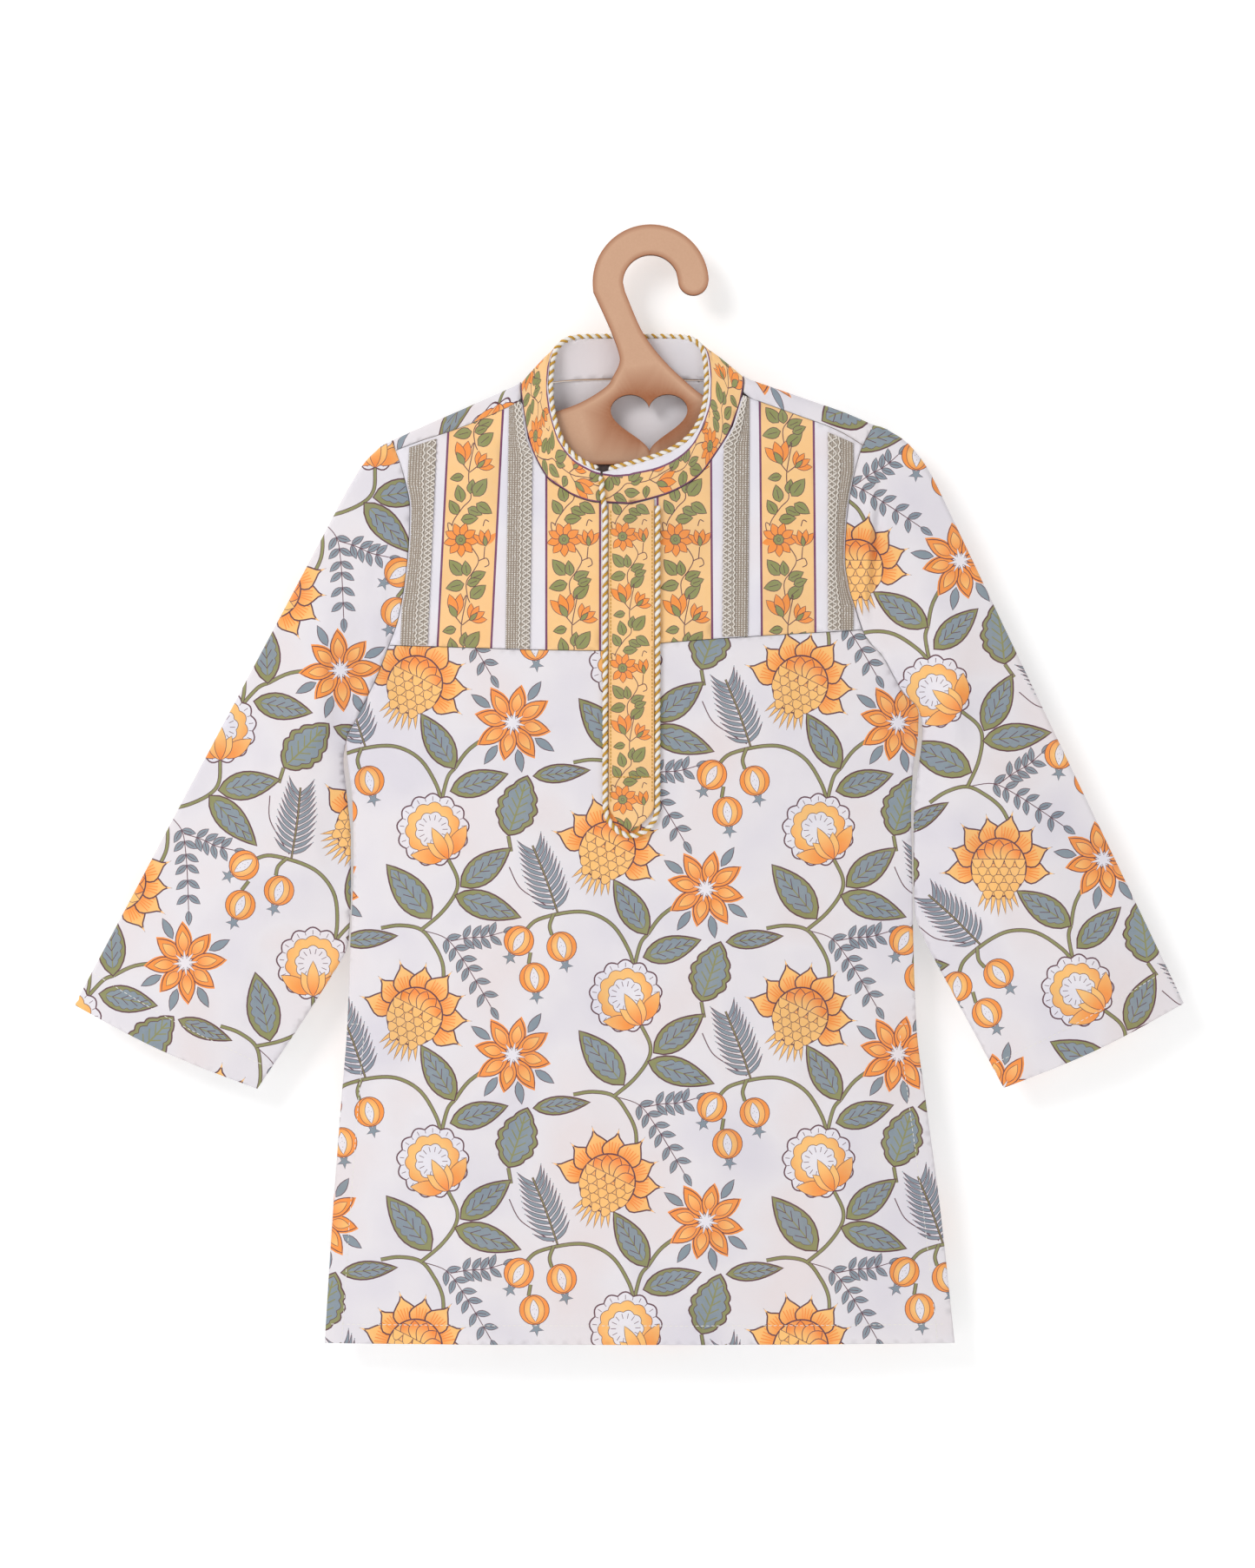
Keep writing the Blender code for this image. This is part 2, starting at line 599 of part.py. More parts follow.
def collar_foot_line(side, back):
    """The corners of the neck edge on one side, from the shoulder ridge to the front or back centre."""
    share = side * NECK_SHARE
    ridge = ridge_drop(share)
    face = 1 if back else -1
    points = []
    for step in range(ARCH_STEPS // 2 + 1):
        angle = math.pi * step / ARCH_STEPS
        drop = ridge + SHOULDER_RADIUS * (1.0 - math.cos(angle))
        points.append(place(share * half_width(share, drop), face * SHOULDER_RADIUS * math.sin(angle), drop))
    if back:
        reaches = [reach for reach in reversed((0.0,) + HALF_BACK_SHARES) if reach < NECK_SHARE]
        return points + [on_body(1, side * reach, back_neck_drop(side * reach)) for reach in reaches]
    points.append(on_body(-1, share, forward_seam_drop(share)))
    reaches = [reach for reach in reversed(YOKE_SHARES) if reach <= NECKLINE[-1][0]]
    opening = share_at(COLLAR_OVERLAP_X, neckline_drop(0.0))
    if side < 0:
        shares = [-reach for reach in reaches if -reach < opening]
    else:
        shares = reaches + [-reach for reach in reversed(reaches) if -reach > opening] + [opening]
    return points + [on_body(-1, spot, neckline_drop(spot)) for spot in shares]


def length_of(points):
    return sum((after - before).length for before, after in zip(points, points[1:]))


def lengths_along(points):
    """Each point's share of a polyline's length."""
    return [length_of(points[:count + 1]) / length_of(points) for count in range(len(points))]


def collar_lines():
    """Matching points of the collar's foot and top, from the front opening all the way round."""
    quarters = (
        (list(reversed(collar_foot_line(-1, False))), COLLAR_TOP_FRONT_LEFT),
        (collar_foot_line(-1, True), COLLAR_TOP_BACK_LEFT),
        (list(reversed(collar_foot_line(1, True))), COLLAR_TOP_BACK_RIGHT),
        (collar_foot_line(1, False), COLLAR_TOP_FRONT_RIGHT),
    )
    top_lines = [[place(across, y, drop) for across, drop, y in rows] for _, rows in quarters]
    whole = top_lines[0] + [point for line in top_lines[1:] for point in line[1:]]
    feet, tops, passed = [], [], 0.0
    for (foot_line, _), top_line in zip(quarters, top_lines):
        run = length_of(top_line) / length_of(whole)
        for foot, fraction in list(zip(foot_line, lengths_along(foot_line)))[1 if feet else 0:]:
            feet.append(foot)
            tops.append(smooth_line(whole, min(passed + fraction * run, 1.0), COLLAR_TOP_SOFTNESS))
        passed += run
    return feet, tops


def band_normal(feet, tops, column, part):
    """The direction square to the collar's band at one column and height, away from the neck."""
    before = max(column - 1, 0)
    after = min(column + 1, len(feet) - 1)
    along = (feet[after] - feet[before]).lerp(tops[after] - tops[before], part)
    return along.cross(tops[column] - feet[column]).normalized()


def collar_outward(feet, tops, column, part):
    """The band's outward direction, averaged over the columns beside it."""
    first = max(column - OUTWARD_REACH, 0)
    last = min(column + OUTWARD_REACH, len(feet) - 1)
    total = Vector((0.0, 0.0, 0.0))
    for beside in range(first, last + 1):
        total += band_normal(feet, tops, beside, part) * (OUTWARD_REACH + 1 - abs(beside - column))
    centre = Vector((CENTRE_X * MM, 0.0, feet[column].z))
    outward = total.normalized()
    return -outward if outward.dot(feet[column] - centre) < 0.0 else outward


def build_collar(material, lining_material, collection):
    """The stand collar and its inner band, both open at the front overlap."""
    feet, tops = collar_lines()
    rows = 3

    def under_cord(column, run, dip):
        """How far down the band its edge lies clear of the cord, lower where it turns over the shoulder."""
        along = (tops[min(column + 1, len(tops) - 1)] - tops[max(column - 1, 0)]).normalized()
        turn = max(1.0 - abs(tops[column].y - TURN_Y * MM) / (TURN_REACH * MM), 0.0)
        return (CORD_RADIUS + CORD_GAP + dip * turn) * MM / run.cross(along).length

    def band(name, start, inset, wall, dip, spacing, colour):
        kept = [0]
        for column in range(1, len(feet) - 1):
            if (feet[column] - feet[kept[-1]]).length > spacing * MM:
                kept.append(column)
        kept.append(len(feet) - 1)

        def point_at(position, row):
            column = kept[position]
            run = (tops[column] - feet[column]).normalized()
            low = feet[column] + run * start * MM
            high = tops[column] - run * under_cord(column, run, dip)
            return low.lerp(high, row / rows) - collar_outward(feet, tops, column, row / rows) * inset * MM

        piece = sheet_from_grid(name, len(kept) - 1, rows, point_at, colour, collection)
        bm = bmesh.new()
        bm.from_mesh(piece.data)
        rearmost = max(bm.faces, key=lambda face: face.calc_center_median().y)
        if rearmost.normal.y < 0.0:
            bmesh.ops.reverse_faces(bm, faces=bm.faces[:])
        bm.to_mesh(piece.data)
        bm.free()
        thicken(piece, wall, even=False)

    band("collar", 2.0 * SEAM_GAP, 0.0, COLLAR_WALL, COLLAR_TURN_DIP, COLLAR_SPACING, material)
    band("collar_lining", LINING_RISE, COLLAR_WALL + 2.0 * LAY_GAP, COLLAR_LINING_WALL, LINING_TURN_DIP,
         LINING_SPACING, lining_material)


def placket_half_width(drop):
    """Half width of the placket, which narrows to a rounded tip."""
    if drop <= PLACKET_STRAIGHT_END:
        return PLACKET_HALF_WIDTH
    part = (drop - PLACKET_STRAIGHT_END) / (PLACKET_TIP - PLACKET_STRAIGHT_END)
    return PLACKET_HALF_WIDTH * max(1.0 - part ** PLACKET_TIP_POWER, 0.0)


def build_placket(material, collection):
    columns, straight_rows, tip_rows = 4, 10, 6
    top = neckline_drop(0.0) + SEAM_GAP

    def point_at(column, row):
        if row <= straight_rows:
            drop = top + (PLACKET_STRAIGHT_END - top) * row / straight_rows
        else:
            part = (row - straight_rows) / tip_rows
            drop = PLACKET_STRAIGHT_END + (PLACKET_TIP - PLACKET_STRAIGHT_END) * 0.985 * part ** 0.8
        across = (2.0 * column / columns - 1.0) * placket_half_width(drop)
        return on_body(-1, share_at(across, drop), drop, LAY_GAP)

    strip = sheet_from_grid("placket", columns, straight_rows + tip_rows, point_at, material, collection,
                            facing=FRONT)
    thicken(strip, WALL, outwards=True)


def lace_edges(lace, drop):
    """Inner and outer edge of a lace strip, kept clear of the neckline and the armhole seam."""
    side, edge_top, edge_bottom, width = lace
    along = (drop - forward_seam_drop(side)) / (yoke_seam_drop(side) - forward_seam_drop(side))
    inner = edge_top + (edge_bottom - edge_top) * min(max(along, 0.0), 1.0)
    outer = min(inner + width, half_width(side, drop) - 2.0 * SEAM_GAP)
    neck = [(neckline_drop(side * share), share * half_width(side, neckline_drop(side * share)))
            for share in (0.455, 0.45, 0.432, 0.41, 0.387, 0.363, 0.335, 0.308)]
    if drop < max(neck)[0]:
        inner = max(inner, monotone_curve(neck, drop) + 3.0 * SEAM_GAP)
    return side * inner, side * outer


def build_lace(name, lace, material, collection):
    rows = 14
    side = lace[0]
    middle_share = side * (lace[1] + 0.5 * lace[3]) / half_width(side, 120.0)

    def point_at(column, row):
        top = forward_seam_drop(middle_share) + 2.0 * SEAM_GAP
        bottom = yoke_seam_drop(middle_share) - SEAM_GAP
        drop = top + (bottom - top) * row / rows
        inner, outer = lace_edges(lace, drop)
        across = inner + (outer - inner) * 0.5 * column
        lean = top - forward_seam_drop(share_at(across, drop)) - 2.0 * SEAM_GAP
        return on_body(-1, share_at(across, drop), drop - lean * (1.0 - row / rows), LAY_GAP)

    strip = sheet_from_grid(name, 2, rows, point_at, material, collection, facing=FRONT)
    thicken(strip, LACE_WALL, outwards=True)


def add_cord(name, points, cyclic, material, collection):
    """A round cord along a line of points."""
    curve = bpy.data.curves.new(name, "CURVE")
    curve.dimensions = "3D"
    curve.bevel_depth = CORD_RADIUS * MM
    curve.bevel_resolution = CORD_SIDES_RESOLUTION
    curve.use_fill_caps = not cyclic
    spline = curve.splines.new("POLY")
    spline.points.add(len(points) - 1)
    for spot, point in zip(spline.points, points):
        spot.co = (*point, 1.0)
    spline.use_cyclic_u = cyclic
    curve.materials.append(material)
    collection.objects.link(bpy.data.objects.new(name, curve))


def even_points(line, spacing):
    """Points at an even spacing along a polyline."""
    count = max(round(length_of(line) / (spacing * MM)), 2)
    return [polyline_at(line, step / count) for step in range(count + 1)]


def build_collar_cord(material, collection):
    """The twisted cord that sits on the collar's top edge, closed at the front overlap."""
    feet, tops = collar_lines()
    inset = (COLLAR_WALL + 0.5 * LAY_GAP) * MM
    line = [top - collar_outward(feet, tops, column, 1.0) * inset for column, top in enumerate(tops)]
    add_cord("collar_cord", even_points(line, CORD_POINT_SPACING)[:-1], False, material, collection)


def build_placket_cord(material, collection):
    """The cord that comes down the collar's front edge and runs round the placket."""
    offset = PLACKET_HALF_WIDTH + LAY_GAP + CORD_RADIUS
    proud = LAY_GAP + CORD_RADIUS
    line = []
    feet, tops = collar_lines()
    collar_run = tops[-1] - feet[-1]
    for part in (0.8, 0.5, 0.2):
        spot = feet[-1] + collar_run * part
        line.append(spot + FRONT * (proud + 0.4) * MM)
    neck = neckline_drop(0.0)
    for step in range(24):
        drop = neck + 1.0 + (PLACKET_STRAIGHT_END - neck - 1.0) * step / 23.0
        line.append(on_body(-1, share_at(-offset, drop), drop, proud))
    tip_turn = PLACKET_TIP + LAY_GAP + CORD_RADIUS + 0.6 - PLACKET_STRAIGHT_END
    for step in range(1, 14):
        angle = math.pi * step / 14.0
        across = -offset * math.copysign(abs(math.cos(angle)) ** 1.15, math.cos(angle))
        drop = PLACKET_STRAIGHT_END + tip_turn * math.sin(angle) ** 0.95
        line.append(on_body(-1, share_at(across, drop), drop, proud))
    for step in range(24):
        drop = PLACKET_STRAIGHT_END - (PLACKET_STRAIGHT_END - neck - 1.5) * step / 23.0
        line.append(on_body(-1, share_at(offset, drop), drop, proud))
    add_cord("placket_cord", even_points(line, CORD_POINT_SPACING), False, material, collection)


def arc(centre, radius, start_deg, end_deg, steps):
    """Points of an arc in the plate's plane, angles from +X towards +Z."""
    points = []
    for step in range(steps + 1):
        angle = math.radians(start_deg + (end_deg - start_deg) * step / steps)
        points.append((centre[0] + radius * math.cos(angle), centre[1] + radius * math.sin(angle)))
    return points


def rounded(points, steps):
    """A smooth curve through a short list of points, as a denser list."""
    result = []
    padded = [points[0]] + list(points) + [points[-1]]
    for before, start, end, after in zip(padded, padded[1:], padded[2:], padded[3:]):
        for step in range(steps):
            t = step / steps
            spot = []
            for p0, p1, p2, p3 in zip(before, start, end, after):
                bend = 2.0 * p1 + (p2 - p0) * t + (2.0 * p0 - 5.0 * p1 + 4.0 * p2 - p3) * t ** 2
                spot.append(0.5 * (bend + (3.0 * p1 - 3.0 * p2 + p3 - p0) * t ** 3))
            result.append(tuple(spot))
    return result + [tuple(points[-1])]


def hanger_outline():
    """The plate's outer edge, from the hook's tip round the outside and back up the inside."""
    hook_centre = (0.0, -HOOK_INNER_RADIUS)
    outside = arc(hook_centre, HOOK_OUTER_RADIUS, 2.0, 186.0, 26)
    left_stem = [(x, -drop) for x, drop in STEM_LEFT]
    left_arm = [(HUB_X - reach, -drop) for reach, drop in ARM_TOP + ARM_TIP + ARM_UNDER]
    right_arm = [(HUB_X + reach, -drop) for reach, drop in reversed(ARM_TOP + ARM_TIP + ARM_UNDER)]
    right_stem = [(x, -drop) for x, drop in reversed(STEM_RIGHT)]
    body = left_stem + left_arm + [(HUB_X, -HUB_FOOT)] + right_arm + right_stem
    inside = arc(hook_centre, HOOK_INNER_RADIUS, 180.0, 22.0, 20)
    tip = arc(HOOK_TIP_CENTRE, HOOK_TIP_RADIUS, 180.0, 352.0, 12)
    return outside + rounded(body, 3) + inside + tip


def heart_outline():
    """The hole in the hub, from the usual heart formula."""
    points = []
    for step in range(HEART_POINTS):
        angle = math.tau * step / HEART_POINTS
        across = math.sin(angle) ** 3
        up = 13.0 * math.cos(angle) - 5.0 * math.cos(2.0 * angle) - 2.0 * math.cos(3.0 * angle)
        up = (up - math.cos(4.0 * angle) - 12.0) / 29.0
        points.append((HUB_X + HEART_HALF_WIDTH * across, -HEART_TOP + HEART_HEIGHT * up))
    return points


def build_hanger(material, collection):
    curve = bpy.data.curves.new("hanger", "CURVE")
    curve.dimensions = "2D"
    curve.fill_mode = "BOTH"
    curve.extrude = 0.5 * PLATE_THICKNESS * MM
    for outline in (hanger_outline(), heart_outline()):
        spline = curve.splines.new("POLY")
        spline.points.add(len(outline) - 1)
        for spot, (x, z) in zip(spline.points, outline):
            spot.co = (x * MM, z * MM, 0.0, 1.0)
        spline.use_cyclic_u = True
    curve.materials.append(material)
    hanger = bpy.data.objects.new("hanger", curve)
    hanger.rotation_euler = (math.radians(90.0), -math.radians(HANGER_TILT_DEG), 0.0)
    collection.objects.link(hanger)


def main():
    for old in list(bpy.data.objects):
        bpy.data.objects.remove(old)
    collection = bpy.data.collections.new("kurta_on_hanger")
    bpy.context.scene.collection.children.link(collection)

    print_cotton = new_material("printed_cotton", (0.78, 0.76, 0.78), 0.85)
    border_cotton = new_material("border_cotton", (0.93, 0.58, 0.22), 0.85)
    lace_metal = new_material("woven_lace", (0.6, 0.54, 0.48), 0.45, 0.4)
    cord_gold = new_material("twisted_cord", (0.85, 0.72, 0.42), 0.6)
    board = new_material("fibre_board", (0.6, 0.36, 0.22), 0.75)

    build_hanger(board, collection)
    build_front_panel(print_cotton, collection)
    build_yoke("yoke_left", -1, border_cotton, collection)
    build_yoke("yoke_right", 1, border_cotton, collection)
    build_back_panel(print_cotton, collection)
    Sleeve(-1, LEFT_SLEEVE_TOP, LEFT_SLEEVE_UNDER).build("sleeve_left", print_cotton, collection)
    Sleeve(1, RIGHT_SLEEVE_TOP, RIGHT_SLEEVE_UNDER).build("sleeve_right", print_cotton, collection)
    build_collar(border_cotton, print_cotton, collection)
    build_placket(border_cotton, collection)
    for number, lace in enumerate(LACES, start=1):
        build_lace(f"lace_{number}", lace, lace_metal, collection)
    build_collar_cord(cord_gold, collection)
    build_placket_cord(cord_gold, collection)


main()
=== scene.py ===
"""Looks of a child's block-printed kurta that hangs on its little plate hanger.

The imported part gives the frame. The cloth is drawn as thin shells on the part's own forms: each
panel has a flat cut, the print is laid out in that cut, and the cut is carried onto the panel's
surface. Lengths are in millimetres until they go into a mesh. A drop is measured down from the
hook's crook, and a width from the garment's centre line.
"""
from __future__ import annotations

import bisect
import logging
import math
from collections.abc import Callable, Sequence
from dataclasses import dataclass, field
from enum import Enum
from typing import ClassVar

import bpy
import numpy as np
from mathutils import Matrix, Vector, geometry, kdtree
from mathutils.bvhtree import BVHTree

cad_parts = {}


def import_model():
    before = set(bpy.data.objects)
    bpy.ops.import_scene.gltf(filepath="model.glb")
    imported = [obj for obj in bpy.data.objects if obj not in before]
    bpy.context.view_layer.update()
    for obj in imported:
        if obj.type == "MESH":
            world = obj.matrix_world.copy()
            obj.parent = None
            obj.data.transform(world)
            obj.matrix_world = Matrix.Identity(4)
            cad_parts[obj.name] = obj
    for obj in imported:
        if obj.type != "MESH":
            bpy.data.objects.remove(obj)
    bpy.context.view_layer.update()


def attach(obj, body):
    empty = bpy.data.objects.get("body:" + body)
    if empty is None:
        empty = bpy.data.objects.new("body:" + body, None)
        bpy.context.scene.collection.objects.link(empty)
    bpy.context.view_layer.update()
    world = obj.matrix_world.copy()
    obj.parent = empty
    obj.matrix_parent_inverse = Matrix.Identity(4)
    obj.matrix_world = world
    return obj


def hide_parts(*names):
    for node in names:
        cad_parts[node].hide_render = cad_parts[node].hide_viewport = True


LOG = logging.getLogger("kurta")

MM = 0.001
CENTRE_X = -11.0
SHOULDER_RADIUS = 4.2
SEAM_GAP = 0.3
SEAM_HALF_GAP = 0.15
FORWARD = (0.0, -1.0, 0.0)
SEAM_HALF_DEPTH = 1.35
HEM_DROP = 628.0
SLIT_TOP = 444.0
SLIT_HALF_DEPTH = 3.2
LEFT_UNDERARM = 282.5
RIGHT_UNDERARM = 263.5
NECK_SHARE = 0.463
HEM_FOLD = 11.0
CLOTH = 0.45
BAKE_MAP = "OFBake"
PRINT = "print"

SPREAD = np.array((-1.0, -0.5, 0.0, 0.5, 1.0))

Point = tuple[float, float]
Colour = tuple[float, float, float]


class Side(Enum):
    """The viewer's left and right."""

    LEFT = -1
    RIGHT = 1


class Held(Enum):
    """How a sheet of cloth is held."""

    HUNG = "hung"


def linear(code: int) -> Colour:
    """Turn a screen colour such as 0xF0A040 into linear light.

    Args:
        code: The colour as one number, two hexadecimal digits to a channel.

    Returns:
        Red, green and blue from 0 to 1.
    """
    channels = [((code >> shift) & 255) / 255.0 for shift in (16, 8, 0)]
    return tuple(c / 12.92 if c <= 0.04045 else ((c + 0.055) / 1.055) ** 2.4 for c in channels)


class Ink(Enum):
    """The dyes of the block print, and the bare cloth."""

    GROUND = linear(0xE3DEE2)
    WHITE = linear(0xE6E2E8)
    ORANGE = linear(0xF58F26)
    DEEP = linear(0xF58312)
    PEACH = linear(0xFABF6A)
    BAND = linear(0xF7C683)
    PLUM = linear(0x54172E)
    PURPLE = linear(0x6E2458)
    OLIVE = linear(0x85864C)
    LEAF = linear(0x878A45)
    SLATE = linear(0x7F8D97)
    TAN = linear(0xD0A88C)
    SCORCH = linear(0x8F4A1E)


@dataclass(frozen=True)
class Curve:
    """A smooth curve through the rows of a table that never swings past them."""

    rows: tuple[Point, ...]
    keys: list[float] = field(init=False)
    tangents: list[float] = field(init=False)

    def __post_init__(self) -> None:
        """Sort the rows and work out a tangent for each."""
        rows = sorted(self.rows)
        slopes = [(b[1] - a[1]) / (b[0] - a[0]) for a, b in zip(rows, rows[1:])]
        tangents = [slopes[0]]
        for before, after in zip(slopes, slopes[1:]):
            same_way = before * after > 0.0
            tangents.append(2.0 * before * after / (before + after) if same_way else 0.0)
        tangents.append(slopes[-1])
        object.__setattr__(self, "rows", tuple(rows))
        object.__setattr__(self, "keys", [row[0] for row in rows])
        object.__setattr__(self, "tangents", tangents)

    def at(self, key: float) -> float:
        """Read the curve.

        Args:
            key: Where to read it.

        Returns:
            The value there, or the nearest end's value outside the table.
        """
        if key <= self.keys[0]:
            return self.rows[0][1]
        if key >= self.keys[-1]:
            return self.rows[-1][1]
        index = bisect.bisect_right(self.keys, key) - 1
        (x0, y0), (x1, y1) = self.rows[index], self.rows[index + 1]
        span = x1 - x0
        t = (key - x0) / span
        rise = (2.0 * t ** 3 - 3.0 * t ** 2 + 1.0) * y0 + (3.0 * t ** 2 - 2.0 * t ** 3) * y1
        leave, meet = self.tangents[index:index + 2]
        return rise + ((t ** 3 - 2.0 * t ** 2 + t) * leave + (t ** 3 - t ** 2) * meet) * span


def ease(value: float) -> float:
    """Rise smoothly from 0 to 1 while the value does."""
    clamped = min(max(value, 0.0), 1.0)
    return clamped * clamped * (3.0 - 2.0 * clamped)


def turned(points: np.ndarray, degrees: float) -> np.ndarray:
    """Turn points about the origin, from across towards the drop."""
    angle = math.radians(degrees)
    matrix = np.array(((math.cos(angle), math.sin(angle)), (-math.sin(angle), math.cos(angle))))
    return np.asarray(points, float) @ matrix


def area_of(points: np.ndarray) -> float:
    """Signed area of a closed outline."""
    x, y = points[:, 0], points[:, 1]
    return 0.5 * float(np.dot(x, np.roll(y, -1)) - np.dot(y, np.roll(x, -1)))


def inside(points: np.ndarray, outline: np.ndarray) -> np.ndarray:
    """Say which points lie inside a closed outline.

    Args:
        points: The points to test.
        outline: The outline's corners in order.

    Returns:
        True for each point inside.
    """
    x, y = points[:, 0], points[:, 1]
    result = np.zeros(len(points), bool)
    ends = np.roll(outline, -1, axis=0)
    for (x0, y0), (x1, y1) in zip(outline, ends):
        if y0 == y1:
            continue
        crosses = (y0 > y) != (y1 > y)
        result ^= crosses & (x < (x1 - x0) * (y - y0) / (y1 - y0) + x0)
    return result


def inset(points: np.ndarray, width: float) -> np.ndarray:
    """Move a closed outline inwards by a width, square to its own line."""
    ahead = np.roll(points, -1, axis=0) - np.roll(points, 1, axis=0)
    length = np.maximum(np.linalg.norm(ahead, axis=1, keepdims=True), 1e-6)
    normal = np.column_stack((-ahead[:, 1], ahead[:, 0])) / length
    return points + normal * math.copysign(width, area_of(points))


def thinned(points: np.ndarray, slack: float = 0.035) -> np.ndarray:
    """A closed outline without the points that lie almost straight between their neighbours."""
    for _ in range(2):
        before, after = np.roll(points, 1, axis=0), np.roll(points, -1, axis=0)
        run, step = after - before, points - before
        length = np.maximum(np.linalg.norm(run, axis=1), 1e-9)
        bulge = np.abs(run[:, 0] * step[:, 1] - run[:, 1] * step[:, 0]) / length
        kept = (bulge > slack) | (np.arange(len(points)) % 2 == 0)
        if kept.sum() > 4:
            points = points[kept]
    return points


def face_normals(places: np.ndarray, faces: np.ndarray) -> np.ndarray:
    """The triangles' normals, as long as twice their areas."""
    start = places[faces[:, 0]]
    return np.cross(places[faces[:, 1]] - start, places[faces[:, 2]] - start)


def open_edges(faces: np.ndarray) -> np.ndarray:
    """The triangles' edges that no second triangle shares, in the triangles' own sense."""
    edges = np.vstack((faces[:, (0, 1)], faces[:, (1, 2)], faces[:, (2, 0)]))
    size = int(faces.max()) + 1
    return edges[~np.isin(edges[:, 0] * size + edges[:, 1], edges[:, 1] * size + edges[:, 0])]


def marks_of(line: np.ndarray) -> np.ndarray:
    """The distance run at each point of a line."""
    return np.concatenate(([0.0], np.cumsum(np.linalg.norm(np.diff(line, axis=0), axis=1))))


def read_along(line: np.ndarray, marks: np.ndarray, spots: Sequence[float]) -> np.ndarray:
    """The points of a line at some distances run."""
    return np.column_stack([np.interp(spots, marks, column) for column in line.T])


def unit_rows(rows: np.ndarray) -> np.ndarray:
    """Vectors brought to length one."""
    return rows / np.linalg.norm(rows, axis=-1, keepdims=True)


def ring_of(radius: float | np.ndarray, angle: np.ndarray) -> np.ndarray:
    """Points round the origin at a radius and some angles."""
    return np.column_stack((radius * np.cos(angle), radius * np.sin(angle)))


def there_and_back(along: np.ndarray, half: np.ndarray) -> np.ndarray:
    """A pointed outline that is the same on both sides of the first axis."""
    return np.vstack((np.column_stack((along, -half)), np.column_stack((along, half))[-2:0:-1]))


def spline(points: Sequence[Point], steps: int) -> np.ndarray:
    """Run a smooth line through a few points.

    Args:
        points: The points to pass through.
        steps: How many steps to take between two of them.

    Returns:
        The line's points.
    """
    rows = np.asarray(points, float)
    padded = np.vstack((rows[:1], rows, rows[-1:]))
    line = []
    for index in range(len(rows) - 1):
        p0, p1, p2, p3 = padded[index:index + 4]
        for step in range(steps):
            t = step / steps
            bend = 2.0 * p1 + (p2 - p0) * t + (2.0 * p0 - 5.0 * p1 + 4.0 * p2 - p3) * t ** 2
            line.append(0.5 * (bend + (3.0 * p1 - 3.0 * p2 + p3 - p0) * t ** 3))
    return np.array(line + [rows[-1]])


@dataclass(frozen=True)
class Crease:
    """A soft fold of the cloth, in the panel's own place and sizes."""

    across: float
    drop: float
    lean: float
    length: float
    width: float
    height: float

    def rise(self, across: float, drop: float) -> float:
        """Say how far the fold lifts the cloth at a place."""
        angle = math.radians(self.lean)
        along = (drop - self.drop) * math.cos(angle) + (across - self.across) * math.sin(angle)
        aside = (across - self.across) * math.cos(angle) - (drop - self.drop) * math.sin(angle)
        power = (along / self.length) ** 2 + (aside / self.width) ** 2
        return self.height * math.exp(-power) if power < 9.0 else 0.0


FRONT_CREASES = (
    Crease(-95, 560, 8, 95, 16, 2.2), Crease(40, 575, -6, 80, 15, 1.8), Crease(118, 540, -14, 90, 14, 1.8),
    Crease(-60, 330, 38, 70, 13, 1.4), Crease(95, 330, -40, 70, 13, 1.4), Crease(-118, 372, 62, 34, 6, 1.0),
    Crease(-40, 262, 74, 46, 5.5, 0.8), Crease(62, 268, -68, 44, 6, 0.9), Crease(126, 300, -52, 32, 5, 1.0),
    Crease(-128, 318, 48, 30, 5, 1.0), Crease(10, 420, 32, 60, 9, 1.0), Crease(-70, 470, -24, 64, 8, 1.1),
    Crease(88, 455, 22, 60, 8, 1.0), Crease(-140, 500, 6, 60, 6, 0.9), Crease(146, 470, -8, 60, 6, 0.9),
    Crease(-20, 520, 12, 64, 7, 0.9), Crease(70, 380, 58, 40, 6, 0.7), Crease(-100, 420, -58, 38, 6, 0.7),
    Crease(-82, 160, 4, 40, 7, 0.6), Crease(84, 150, -5, 42, 7, 0.6), Crease(0, 585, 3, 40, 8, 0.8),
)
SLEEVE_TUCK = {
    -1: (Crease(143.0, 190.0, 10.0, 26.0, 2.6, 0.9), Crease(150.0, 215.0, -8.0, 22.0, 2.6, 0.7)),
    1: (Crease(136.0, 172.0, -4.0, 36.0, 3.0, 2.6), Crease(140.4, 176.0, -4.0, 34.0, 1.8, -3.2)),
}
BACK_CREASES = (
    Crease(-70, 545, -7, 100, 17, 2.2), Crease(60, 560, 9, 90, 16, 2.0), Crease(0, 300, 28, 80, 15, 1.5),
    Crease(-90, 250, -35, 60, 13, 1.4), Crease(100, 262, 38, 50, 7, 1.0), Crease(-124, 330, 58, 34, 6, 1.0),
    Crease(126, 350, -56, 34, 6, 1.0), Crease(20, 130, 86, 40, 5, 0.7), Crease(-30, 160, 78, 44, 6, 0.7),
    Crease(-20, 430, -22, 64, 8, 1.0), Crease(90, 450, 18, 60, 8, 1.0), Crease(-110, 470, 10, 60, 7, 1.0),
    Crease(140, 520, -6, 60, 6, 0.8), Crease(10, 560, 4, 56, 8, 0.9), Crease(-140, 560, 5, 46, 6, 0.8),
)
SLEEVE_CREASES = (
    Crease(62, 20, 12, 60, 8, 1.3), Crease(96, 60, -28, 44, 7, 1.1), Crease(40, 110, 34, 50, 8, 1.2),
    Crease(110, 120, 30, 42, 6, 1.0), Crease(70, 170, -38, 46, 7, 1.2), Crease(32, 210, 22, 48, 7, 1.0),
    Crease(96, 232, 40, 40, 6, 1.0), Crease(52, 282, -30, 44, 7, 1.1), Crease(84, 318, 16, 34, 6, 0.9),
    Crease(26, 332, -12, 36, 6, 0.8),
)


